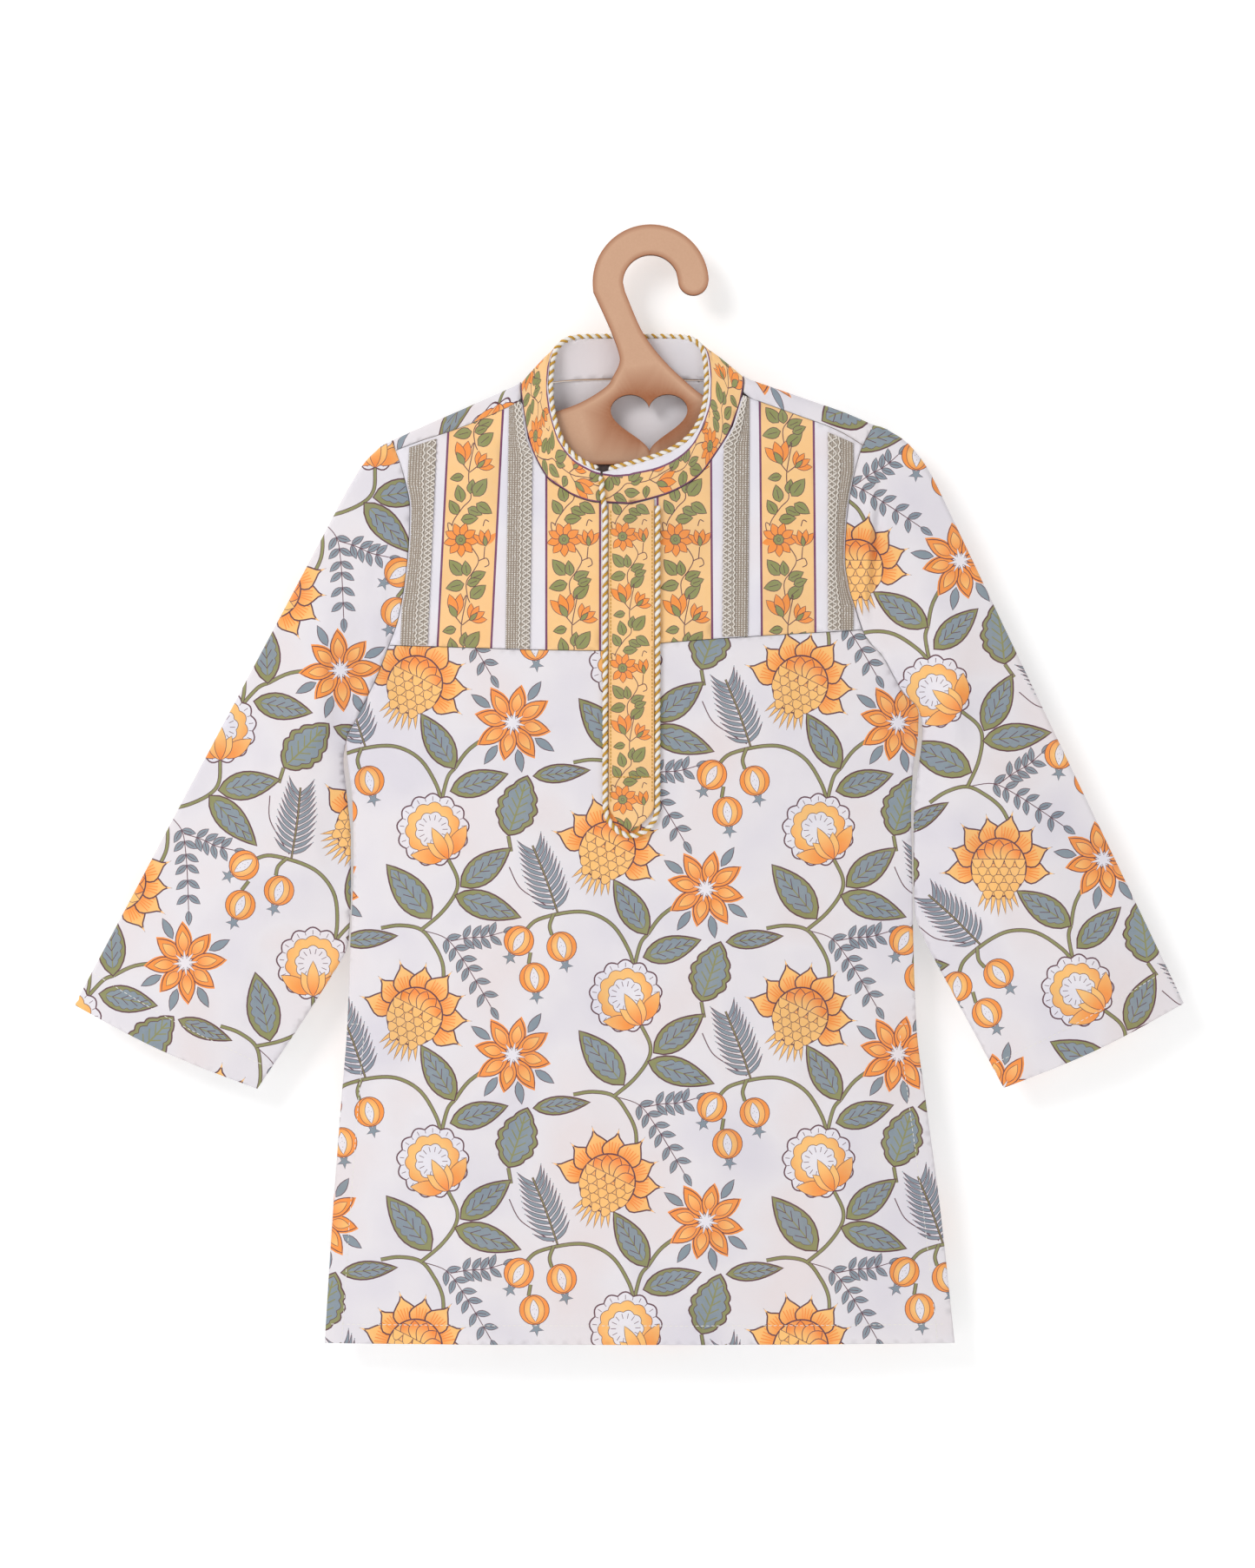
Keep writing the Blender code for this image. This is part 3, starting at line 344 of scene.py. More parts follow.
class BodyForm:
    """The kurta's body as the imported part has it, with the finer creases of the cloth added."""

    LEFT_SIDE = Curve((
        (107, 138), (126, 131.5), (147, 127.5), (164, 128), (189.5, 130.5), (211, 134.5),
        (225.5, 139.7), (242, 146), (265, 157), (282.5, 164.5), (317.5, 161), (350, 160.5),
        (403, 162.5), (444, 164), (489, 167.5), (549, 172), (628, 177)))
    RIGHT_SIDE = Curve((
        (98, 139.8), (113.5, 132), (131, 127.5), (153, 124), (176, 123), (191, 125),
        (204, 129), (221.5, 135.5), (232, 145), (242, 150.5), (252.5, 156.5), (263.5, 165.8),
        (276.5, 165.5), (298.5, 162.5), (322, 161.5), (350, 162), (385, 162.5), (444, 164.5),
        (489.0, 170.0), (549.0, 178.0), (628.0, 186.5)))
    ARMHOLE_DEPTHS = Curve((
        (0.0, SHOULDER_RADIUS), (0.3, 5.2), (0.6, 4.6), (0.85, 2.7), (1.0, SEAM_HALF_DEPTH)))
    CROWN_DEPTHS = Curve(((70.0, 9.0), (150.0, 10.0), (250.0, 10.5), (400.0, 11.0), (HEM_DROP, 12.0)))
    RIDGE = {-1: Curve(((NECK_SHARE, 74.0), (0.72, 89.8), (0.88, 99.5), (1.0, 107.0))),
             1: Curve(((NECK_SHARE, 70.5), (0.72, 83.0), (0.88, 90.8), (1.0, 98.0)))}
    FORWARD_SEAM = {-1: Curve(((NECK_SHARE, 85.0), (0.72, 100.3), (0.88, 107.5), (1.0, 113.0))),
                    1: Curve(((NECK_SHARE, 81.5), (0.72, 94.5), (0.88, 102.5), (1.0, 110.0)))}
    NECKLINE_SHARES = (0, 0.156, 0.253, 0.308, 0.363, 0.41, 0.432, 0.455)
    NECKLINE = {
        -1: Curve(tuple(zip(NECKLINE_SHARES, (144.5, 143.5, 140.0, 135.5, 130.5, 118.5, 106.0, 86.5)))),
        1: Curve(tuple(zip(NECKLINE_SHARES, (144.5, 139.0, 133.0, 127.5, 117.0, 104.0, 93.0, 82.5))))}
    YOKE_SEAM = Curve(((-1, 225.5), (-0.1, 228.8), (0.1, 224.8), (1, 216.5)))
    BACK_NECK_DROP = 71.5
    CROWN_POWER = 2.4
    SHOULDER_EASE = 40.0
    NECK_RIDGE_RISE = 60.0
    SEAM_DIP = 0.5
    SEAM_DIP_WIDTH = 1.5
    HEM_RISE = 0.35
    HEM_RISE_RUN = 1.2
    LEAST_DEPTH = 0.5

    @staticmethod
    def sign(share: float) -> int:
        """Say which side a share lies on."""
        return -1 if share < 0.0 else 1

    def half_width(self, share: float, drop: float) -> float:
        """Half width of the body at a drop."""
        return (self.LEFT_SIDE if share < 0.0 else self.RIGHT_SIDE).at(drop)

    def ridge(self, share: float) -> float:
        """Drop of the shoulder's ridge, which rises inside the neck."""
        reach = abs(share)
        ridge = self.RIDGE[self.sign(share)].at(reach)
        if reach < NECK_SHARE:
            ridge -= self.NECK_RIDGE_RISE * (1.0 - (reach / NECK_SHARE) ** 1.5)
        return ridge

    def forward_seam(self, share: float) -> float:
        """Drop of the shoulder seam on the front."""
        return self.FORWARD_SEAM[self.sign(share)].at(abs(share))

    def neckline(self, share: float) -> float:
        """Drop of the front neckline."""
        return self.NECKLINE[self.sign(share)].at(abs(share))

    def back_neck(self, share: float) -> float:
        """Drop of the back neckline."""
        end = self.ridge(math.copysign(NECK_SHARE, share)) + SHOULDER_RADIUS
        return self.BACK_NECK_DROP + (end - self.BACK_NECK_DROP) * min(abs(share) / NECK_SHARE, 1.0) ** 4

    def edge_depth(self, share: float, drop: float) -> float:
        """Half depth of the body at its armhole, side seam or slit."""
        top = self.ridge(math.copysign(1.0, share))
        along = (drop - top) / ((LEFT_UNDERARM if share < 0.0 else RIGHT_UNDERARM) - top)
        if along < 1.0:
            return self.ARMHOLE_DEPTHS.at(along)
        opened = ease((drop - SLIT_TOP) / (HEM_DROP - SLIT_TOP))
        return SEAM_HALF_DEPTH + (SLIT_HALF_DEPTH - SEAM_HALF_DEPTH) * opened

    def half_depth(self, face: int, share: float, drop: float) -> float:
        """Half depth of the cloth's outer surface.

        Args:
            face: -1 on the front, 1 on the back.
            share: The place across, as a part of the half width.
            drop: The place down.

        Returns:
            The distance from the body's middle plane.
        """
        below = drop - self.ridge(share)
        radius = SHOULDER_RADIUS
        if below <= 0.0:
            return 0.0
        if below < radius:
            return math.sqrt(radius ** 2 - (radius - below) ** 2)
        width = self.half_width(share, drop)
        edge = self.edge_depth(share, drop)
        bulge = max(1.0 - abs(share) ** self.CROWN_POWER, 0.0)
        creases = FRONT_CREASES if face < 0 else BACK_CREASES
        lift = sum(crease.rise(share * width, drop) for crease in creases)
        full = edge + (self.CROWN_DEPTHS.at(drop) - edge) * bulge
        full += lift * min(3.0 * bulge, 1.0) * ease(bulge + 0.3)
        depth = radius + (full - radius) * ease((below - radius) / self.SHOULDER_EASE)
        depth += self.HEM_RISE * ease((drop - HEM_DROP + HEM_FOLD) / self.HEM_RISE_RUN)
        gaps = [(1.0 - abs(share)) * width]
        if face < 0:
            gaps.append(abs(drop - self.YOKE_SEAM.at(share)))
        dip = self.SEAM_DIP * sum(math.exp(-(gap / self.SEAM_DIP_WIDTH) ** 2) for gap in gaps)
        return max(depth - dip, self.LEAST_DEPTH)


class Patch:
    """A surface of cloth with its flat cut: rows and columns of flat points and of their places."""

    def __init__(self, flat: np.ndarray, places: np.ndarray) -> None:
        """Keep both grids and index the flat one.

        Args:
            flat: Rows by columns of flat points.
            places: Rows by columns of places in space.
        """
        self.flat = flat
        self.places = places
        rows, columns = flat.shape[:2]
        self.columns = columns
        corners = [Vector((x, y, 0.0)) for x, y in flat.reshape(-1, 2)]
        self.triangles = []
        for row in range(rows - 1):
            for column in range(columns - 1):
                a = row * columns + column
                b, c, d = a + 1, a + columns + 1, a + columns
                self.triangles += [(a, b, c), (a, c, d)]
        self.tree = BVHTree.FromPolygons(corners, self.triangles)

    def spots(self, points: np.ndarray) -> np.ndarray:
        """Find flat points in the grid, as fractional rows and columns."""
        spots = np.zeros((len(points), 2))
        flat = self.flat.reshape(-1, 2)
        for index, (x, y) in enumerate(points):
            near, _, triangle, _ = self.tree.find_nearest(Vector((x, y, 0.0)))
            corners = self.triangles[triangle]
            (ax, ay), (bx, by), (cx, cy) = flat[list(corners)]
            area = (bx - ax) * (cy - ay) - (cx - ax) * (by - ay)
            if abs(area) < 1e-9:
                spots[index] = divmod(corners[0], self.columns)
                continue
            v = ((near.x - ax) * (cy - ay) - (cx - ax) * (near.y - ay)) / area
            w = ((bx - ax) * (near.y - ay) - (near.x - ax) * (by - ay)) / area
            grid = np.array([divmod(corner, self.columns) for corner in corners], float)
            spots[index] = grid[0] + v * (grid[1] - grid[0]) + w * (grid[2] - grid[0])
        return spots

    def at(self, points: np.ndarray, proud: float = 0.0) -> np.ndarray:
        """Carry flat points onto the surface.

        Args:
            points: Flat points.
            proud: How far to lift them off the surface, away from the body's middle plane.

        Returns:
            Their places.
        """
        spots = self.spots(np.asarray(points, float))
        limits = np.array(self.places.shape[:2]) - 1
        low = np.clip(np.floor(spots).astype(int), 0, limits - 1)
        t = np.clip(spots - low, 0.0, 1.0)
        weights = np.stack((
            0.5 * (-t + 2.0 * t ** 2 - t ** 3), 0.5 * (2.0 - 5.0 * t ** 2 + 3.0 * t ** 3),
            0.5 * (t + 4.0 * t ** 2 - 3.0 * t ** 3), 0.5 * (-t ** 2 + t ** 3)))
        total = np.zeros((len(spots), 3))
        for i in range(4):
            rows = np.clip(low[:, 0] + i - 1, 0, limits[0])
            for j in range(4):
                columns = np.clip(low[:, 1] + j - 1, 0, limits[1])
                total += (weights[i][:, 0] * weights[j][:, 1])[:, None] * self.places[rows, columns]
        total[:, 1] += proud * np.where(total[:, 1] < 0.0, -1.0, 1.0)
        return total


@dataclass
class Shape:
    """One printed shape: its outline, its dye, and a second dye that it may fade to."""

    points: np.ndarray
    ink: Colour
    fade: Colour | None = None
    centre: Point = (0.0, 0.0)
    reach: tuple[float, float] = (0.0, 1.0)


class Block:
    """A printing block: shapes in the order in which they are pressed, later ones on top."""

    STROKE = 0.86

    def __init__(self) -> None:
        """Start with nothing cut."""
        self.shapes: list[Shape] = []

    def add(self, points: np.ndarray, ink: Ink, fade: Ink | None = None, centre: Point = (0.0, 0.0),
            reach: tuple[float, float] = (0.0, 1.0)) -> None:
        """Cut one shape.

        Args:
            points: Its outline.
            ink: Its dye.
            fade: A dye that it turns to away from the centre.
            centre: Where the first dye is full.
            reach: The distances at which the change starts and ends.
        """
        second = fade.value if fade else None
        self.shapes.append(Shape(np.asarray(points, float), ink.value, second, centre, reach))

    def outlined(self, points: np.ndarray, ink: Ink, stroke: float = STROKE, **fade) -> None:
        """Cut a shape with a plum line round it."""
        self.add(points, Ink.PLUM)
        self.add(inset(np.asarray(points, float), stroke), ink, **fade)

    def press(self, other: Block, degrees: float, x: float, y: float, scale: float = 1.0) -> None:
        """Press another block into this one, turned and moved."""
        for shape in other.shapes:
            points = turned(shape.points * scale, degrees) + (x, y)
            centre = tuple(turned(np.array([shape.centre]) * scale, degrees)[0] + (x, y))
            reach = (shape.reach[0] * scale, shape.reach[1] * scale)
            self.shapes.append(Shape(points, shape.ink, shape.fade, centre, reach))

    def stem(self, points: Sequence[Point], width: float, ink: Ink = Ink.OLIVE, line: Ink = Ink.PLUM,
             steps: int = 5) -> None:
        """Cut a curved stem, with a line down each side where it is wide enough."""
        middle = spline(points, steps)
        ahead = np.gradient(middle, axis=0)
        normal = unit_rows(np.column_stack((-ahead[:, 1], ahead[:, 0])))
        for half, colour in ((0.5 * width, line), (0.5 * width - 0.4, ink)):
            if half > 0.1:
                self.add(np.vstack((middle + normal * half, (middle - normal * half)[::-1])), colour)

    def line(self, points: Sequence[Point], width: float, ink: Ink = Ink.PLUM, steps: int = 1) -> None:
        """Cut a line of one dye."""
        self.stem(points, width, ink, ink, steps)

    def veins(self, length: float, width: float, thick: float, ink: Ink, rows: Sequence[float]) -> None:
        """Cut pairs of veins up a leaf.

        Args:
            length: The leaf's length.
            width: The leaf's width.
            thick: The veins' width.
            ink: Their dye.
            rows: How many pairs, where the first starts, the step, and the first one's reach and its loss.
        """
        pairs, first, step, reach, loss = rows
        for number in range(int(pairs)):
            foot = (first + step * number) * length
            for way in (-1.0, 1.0):
                tip = (foot + 0.13 * length, way * width * (reach - loss * number))
                self.line(((foot, 0.0), tip), thick, ink)

    def fan(self, turns: Sequence[float], points: np.ndarray, ink: Ink,
            place: Point = (0.0, 0.0), **style) -> None:
        """Press one outlined shape at several turns about a place."""
        for turn in turns:
            single = Block()
            single.outlined(points, ink, **style)
            self.press(single, turn, *place)


def petal(length: float, width: float, start: float = 0.0, blunt: float = 1.0, steps: int = 7) -> np.ndarray:
    """Outline of a petal or leaf that points along the first axis.

    Args:
        length: Where its tip is.
        width: Its greatest width.
        start: Where its foot is.
        blunt: Over 1 moves the widest place towards the tip.
        steps: Points along one side.

    Returns:
        The outline's points.
    """
    t = np.linspace(0.0, 1.0, steps + 1)
    x = start + (length - start) * t
    half = 0.5 * width * np.sin(math.pi * t ** blunt) ** 0.85 * (1.0 - 0.12 * t)
    half[0] = half[-1] = 0.0
    return there_and_back(x, half)


def scalloped(radius: float, lobes: int, depth: float, steps: int = 5) -> np.ndarray:
    """Outline of a round shape with lobes."""
    angle = np.linspace(0.0, math.tau, lobes * steps, endpoint=False)
    return ring_of(radius * (1.0 - depth + depth * np.abs(np.sin(0.5 * lobes * angle))), angle)


def star(radius: float, points: int, hollow: float, tip: float) -> np.ndarray:
    """Outline of a star, from its hollows' and its tips' shares of a radius."""
    number = np.arange(2 * points)
    return ring_of(np.where(number % 2, hollow, tip) * radius, math.pi * number / points)


def scalloped_leaf(length: float, width: float, start: float, lobes: int, depth: float) -> np.ndarray:
    """Outline of a leaf's inner part, whose sides run in lobes."""
    side = np.linspace(0.0, 1.0, lobes * 4 + 1)
    half = 0.5 * width * np.sin(math.pi * side ** 0.85) ** 0.8
    half *= 1.0 - depth + depth * np.abs(np.sin(math.pi * lobes * side))
    return there_and_back(start + (length - start) * side, half)


class Motifs:
    """The motifs of the print, each a block about its own foot or centre, drawn pointing along +X."""

    @staticmethod
    def leaf(length: float, width: float) -> Block:
        """A leaf with an olive rim, a lobed inner part and veins."""
        block = Block()
        block.outlined(petal(length, width, 0.0, 0.85, 9), Ink.OLIVE)
        block.outlined(scalloped_leaf(0.9 * length, 0.72 * width, 0.12 * length, 6, 0.2),
                       Ink.SLATE, stroke=0.25)
        block.line(((0.08 * length, 0.0), (0.45 * length, 0.25), (0.84 * length, 0.0)), 0.7, Ink.OLIVE, 3)
        block.veins(length, width, 0.42, Ink.PLUM, (4, 0.24, 0.15, 0.2, 0.025))
        return block

    @staticmethod
    def small_leaf(length: float, width: float) -> Block:
        """A little leaf with a midrib."""
        block = Block()
        block.outlined(petal(length, width, 0.0, 0.9, 5), Ink.SLATE, stroke=0.35)
        block.line(((0.1 * length, 0.0), (0.7 * length, 0.0)), 0.35)
        return block

    @staticmethod
    def star_flower(radius: float) -> Block:
        """A flower of eight pointed petals with a pale star in its middle."""
        block = Block()
        block.fan((22.5, 112.5, 202.5, 292.5, 67.5),
                  petal(1.26 * radius, 0.25 * radius, 0.66 * radius, 0.9, 5), Ink.SLATE, stroke=0.45)
        for number in range(8):
            leaf = Block()
            long = radius * (1.0 if number % 2 else 0.93)
            leaf.add(petal(1.03 * long, 0.45 * radius, 0.1 * radius, 1.0, 6) + (0.4, 0.5), Ink.ORANGE)
            leaf.outlined(petal(long, 0.44 * radius, 0.1 * radius, 1.0, 8), Ink.ORANGE, stroke=0.55)
            leaf.outlined(petal(0.8 * long, 0.27 * radius, 0.26 * radius, 0.95, 7), Ink.PEACH, stroke=0.3,
                          fade=Ink.DEEP, centre=(0.85 * long, 0.0), reach=(0.1 * radius, 0.6 * radius))
            block.press(leaf, 45.0 * number, 0.0, 0.0)
        block.outlined(star(radius, 8, 0.12, 0.34), Ink.WHITE, stroke=0.3)
        return block

    @staticmethod
    def peony(radius: float) -> Block:
        """A round flower of lobed rings with a bud at the side of its stem, which comes along +X."""
        block = Block()

        def spokes(count: int, shift: float, foot: float, tips: Sequence[float]) -> None:
            """Cut short lines that point at the middle."""
            for number in range(count):
                angle = math.tau * (number + shift) / count
                spoke = radius * np.array((math.cos(angle), math.sin(angle)))
                block.line((tuple(spoke * foot), tuple(spoke * tips[number % len(tips)])), 0.35)

        block.outlined(scalloped(radius, 13, 0.1, 6), Ink.WHITE)
        spokes(26, 0.0, 0.78, (0.86, 0.9))
        block.outlined(scalloped(0.76 * radius, 11, 0.1, 6), Ink.PEACH, stroke=0.35,
                       fade=Ink.ORANGE, centre=(-0.2 * radius, 0.0), reach=(0.5 * radius, 1.0 * radius))
        block.outlined(scalloped(0.5 * radius, 9, 0.12, 5), Ink.WHITE, stroke=0.35)
        spokes(14, 0.5, 0.26, (0.4,))
        for way in (-1.0, 1.0):
            block.fan((180.0 - 58.0 * way,), petal(0.95 * radius, 0.46 * radius, 0.0, 0.9, 7), Ink.ORANGE,
                      (0.82 * radius, 0.06 * radius * way), stroke=0.35, fade=Ink.PEACH,
                      centre=(0.1 * radius, 0.0), reach=(0.2 * radius, 0.9 * radius))
        for turns, long, wide in (((205.0, 155.0), 0.74, 0.34), ((180.0,), 0.98, 0.36)):
            block.fan(turns, petal(long * radius, wide * radius, 0.0, 0.95, 8), Ink.PEACH,
                      (0.9 * radius, 0.0), stroke=0.35, fade=Ink.DEEP, centre=(long * radius, 0.0),
                      reach=(0.3 * radius, 0.9 * radius))
        return block

    @staticmethod
    def scaly_flower(radius: float) -> Block:
        """A big flower with a scaly middle, a crown of petals along +X and a tuft at its foot."""
        block = Block()
        for number in range(-3, 4):
            block.fan((180.0 + 9.0 * number,), petal(radius * (1.72 - 0.05 * abs(number)), 0.17 * radius,
                                                     0.75 * radius, 0.6, 5), Ink.PEACH, stroke=0.28)
        for number in range(8):
            leaf = Block()
            long = radius * (2.0 + 0.08 * math.cos(1.7 * number))
            half = np.array((0.1, 0.3, 0.42, 0.46, 0.4, 0.26, 0.1, 0.02, 0.0)) * radius
            run = np.linspace(0.7 * radius, long, len(half))
            side = np.column_stack((run, half))
            leaf.outlined(np.vstack((side, (side * (1.0, -1.0))[-2::-1])), Ink.ORANGE,
                          fade=Ink.PEACH, centre=(0.6 * radius, 0.0), reach=(0.35 * radius, 0.9 * radius))
            for fan in (-2.0, -1.0, 0.0, 1.0, 2.0):
                leaf.line(((1.02 * radius, fan * 0.07 * radius), (1.42 * radius, fan * 0.12 * radius)), 0.5,
                          Ink.DEEP)
            order = (0, 7, 1, 6, 2, 5, 3, 4)[number]
            block.press(leaf, 27.5 * (order - 3.5), 0.0, 0.0)
        angle = np.linspace(0.0, math.tau, 40, endpoint=False)
        block.outlined(ring_of(radius, angle) * (1.04, 0.98), Ink.ORANGE, fade=Ink.PEACH,
                       centre=(radius, 0.0), reach=(0.5 * radius, 1.3 * radius))
        block.fan([26.0 * lobe for lobe in range(-2, 3)],
                  petal(0.98 * radius, 0.48 * radius, 0.2 * radius, 1.2, 8), Ink.DEEP, stroke=0.45,
                  fade=Ink.PEACH, centre=(radius, 0.0), reach=(0.15 * radius, 0.6 * radius))
        scale = 0.24 * radius
        for row in range(4, -1, -1):
            x = (0.3 - 0.27 * row) * radius
            reach = math.sqrt(max(0.9 - (x / radius) ** 2, 0.0)) * radius
            count = int(reach / scale + 0.5 * (row % 2))
            for number in range(-count, count + 1):
                y = (number + 0.5 * (row % 2)) * scale * 1.55
                if abs(y) > reach - 0.6 * scale:
                    continue
                half = np.linspace(-0.5 * math.pi, 0.5 * math.pi, 8) + math.pi
                arc = np.column_stack((x + 1.45 * scale * np.cos(half), y + 0.78 * scale * np.sin(half)))
                block.outlined(arc, Ink.PEACH, stroke=0.36)
        return block

    @staticmethod
    def round_fruit(radius: float) -> Block:
        """A small round fruit that hangs by its stem, which comes along -X, with a star at its far end."""
        block = Block()
        block.outlined(star(radius, 5, 0.2, 0.52) + (1.25 * radius, 0.0), Ink.SLATE, stroke=0.3)
        disc = ring_of(radius, np.linspace(0.0, math.tau, 24, endpoint=False))
        block.outlined(disc, Ink.ORANGE, stroke=0.4)
        block.outlined(disc * (0.92, 0.68), Ink.PEACH, stroke=0.3, fade=Ink.ORANGE, centre=(0.0, 0.0),
                       reach=(0.45 * radius, 0.95 * radius))
        block.outlined(petal(0.8 * radius, 0.66 * radius, -0.7 * radius, 1.0, 7), Ink.WHITE, stroke=0.3)
        for x, y in ((-0.3, 0.0), (0.0, 0.12), (0.02, -0.13), (0.3, 0.0), (0.5, 0.06), (-0.08, 0.0)):
            speck = np.array(((-0.25, 0.0), (0.0, -0.2), (0.3, 0.0), (0.0, 0.2)))
            block.add(speck + (x * radius, y * radius), Ink.PLUM)
        return block

    @staticmethod
    def feather_leaf(length: float) -> Block:
        """A frond of thin curved strands on a midrib."""
        block = Block()
        for step in range(11):
            foot = (0.06 + 0.08 * step) * length
            for way in (-1.0, 1.0):
                strand = Block()
                long = length * (0.38 - 0.12 * abs(step / 10.0 - 0.4))
                bend = spline(((0.0, 0.0), (0.5 * long, 0.09 * long * way), (long, 0.02 * long * way)), 3)
                wide = np.array((0.5, 0.9, 1.0, 0.9, 0.6, 0.3, 0.02))[:len(bend)]
                edge = np.column_stack((np.zeros(len(bend)), 1.25 * wide))
                strand.outlined(np.vstack((bend + edge, (bend - edge)[::-1])), Ink.SLATE, stroke=0.34)
                block.press(strand, way * (54.0 - 2.0 * step), foot, 0.0)
        block.stem(((-0.04 * length, 0.0), (0.5 * length, 0.6), (0.97 * length, 0.0)), 1.3)
        return block

    @staticmethod
    def lobed_leaf(length: float, width: float) -> Block:
        """A broad leaf whose whole edge runs in lobes."""
        block = Block()
        block.outlined(scalloped_leaf(length, width, 0.0, 5, 0.14), Ink.OLIVE)
        block.outlined(scalloped_leaf(0.93 * length, 0.76 * width, 0.08 * length, 5, 0.2),
                       Ink.SLATE, stroke=0.4)
        block.line(((0.05 * length, 0.0), (0.5 * length, 0.5), (0.85 * length, 0.0)), 1.0, Ink.OLIVE, 3)
        block.veins(length, width, 0.7, Ink.OLIVE, (5, 0.2, 0.13, 0.23, 0.02))
        return block

    @staticmethod
    def sprig() -> Block:
        """A thin branch of little leaves, drawn in the lattice's own place."""
        block = Block()
        for line, count in ((((2.2, 0.7), (14.5, 5.1), (23.4, 16.3), (32.4, 30.8), (40.2, 44.2)), 6),
                            (((17.0, 6.5), (27.0, 4.6), (36.8, 4.0), (46.9, 1.3)), 4)):
            block.line(line, 0.5, steps=5)
            path = spline(line, 8)
            for number in range(count):
                place = int((0.28 + 0.68 * number / count) * (len(path) - 1))
                spot, ahead = path[place], path[min(place + 1, len(path) - 1)] - path[place]
                turn = math.degrees(math.atan2(ahead[1], ahead[0]))
                for way in (-1.0, 1.0):
                    block.press(Motifs.small_leaf(9.0, 4.4), turn + way * 52.0, *spot)
            end = path[-1] - path[-3]
            block.press(Motifs.small_leaf(9.0, 4.4), math.degrees(math.atan2(end[1], end[0])), *path[-1])
        return block


class FloralLattice:
    """The main print: one branch of flowers and leaves, repeated on a half-drop lattice."""

    ACROSS = (111.0, 95.5)
    DOWN = (0.0, 191.0)
    ORIGIN = (-121.0, 389.5)

    STEMS = (
        ((-23.4, -0.9), (-12.3, -2.5), (0, 0), (7.8, 9.6), (12.3, 19.6), (12.9, 30)),
        ((0, 0), (11.2, -9.4), (19.4, -20.5), (20.8, -29.5), (15.6, -40.6)),
        ((11.2, -70.8), (12.9, -79.7), (15.6, -88.6), (19.4, -93.1)),
        ((19.4, -93.1), (27.9, -104.2), (43.5, -114.7)),
        ((11.6, -72.3), (8.9, -83), (0, -97.5), (-12.3, -104.9), (-25.7, -105.8), (-43.5, -101.6),
         (-50.2, -96.0)),
        ((-34.6, -104.9), (-37, -98), (-35.7, -92.6)),
        ((-48.0, -82.6), (-49.1, -76.0)),
        ((50.2, -54.2), (51.8, -45.1)),
    )
    THIN_STEMS = (
        ((-60.3, -131.7), (-54.7, -120.5), (-45.8, -113.8), (-34.6, -107.1)),
    )
    LEAVES = (
        (6, -6, -20.5, -38, 20.5), (22.3, -24.6, 52, -47.5, 18), (19, -20, 58, -7, 17.5),
        (19.4, -92.4, -0.5, -125, 18), (16.3, -79.7, 50.5, -90, 16.7),
    )

    @classmethod
    def branch(cls) -> Block:
        """Cut the lattice's one branch, about its main fork."""
        block = Block()
        block.press(Motifs.sprig(), 0.0, 0.0, 0.0)
        for line in cls.THIN_STEMS:
            block.line(line, 0.6, steps=5)
        block.press(Motifs.feather_leaf(42.0), -110.5, -32.6, -106.0)
        for line in cls.STEMS:
            block.stem(line, 2.3)
        block.press(Motifs.lobed_leaf(37.0, 25.0), -72.0, 50.0, -54.0)
        block.press(Motifs.leaf(34.0, 12.0), -6.0, 64.0, -88.5)
        for x0, y0, x1, y1, width in cls.LEAVES:
            turn = math.degrees(math.atan2(y1 - y0, x1 - x0))
            block.press(Motifs.leaf(math.hypot(x1 - x0, y1 - y0), width), turn, x0, y0)
        for x, y, turn in ((-54.7, -89.3, 118.0), (-30.1, -85.9, 78.0), (-45.8, -68.1, 84.0)):
            block.press(Motifs.round_fruit(8.8), turn, x, y)
        block.press(Motifs.star_flower(23.2), 12.0, 52.7, -119.2)
        block.press(Motifs.peony(21.4), 62.0, 6.7, -57.6)
        block.press(Motifs.scaly_flower(16.6), -64.0, -3.8, 49.8)
        return block

    @classmethod
    def over(cls, outline: np.ndarray, grain: float, origin: Point) -> Block:
        """Print the lattice over a piece of cloth.

        Args:
            outline: The flat outline of the piece.
            grain: How far the print is turned on it, in degrees.
            origin: Where one of the branch's forks falls.

        Returns:
            All the shapes that touch the piece.
        """
        branch = cls.branch()
        low, high = outline.min(axis=0), outline.max(axis=0)
        middle = 0.5 * (low + high)
        reach = 0.5 * float(np.linalg.norm(high - low)) + 160.0
        result = Block()
        for i in range(-6, 7):
            for j in range(-8, 9):
                spot = turned(i * np.array(cls.ACROSS) + j * np.array(cls.DOWN), grain) + origin
                if np.linalg.norm(spot - middle) < reach:
                    result.press(branch, grain, *spot)
        result.shapes = [
            shape for shape in result.shapes
            if (shape.points.max(axis=0) > low).all() and (shape.points.min(axis=0) < high).all()]
        return result


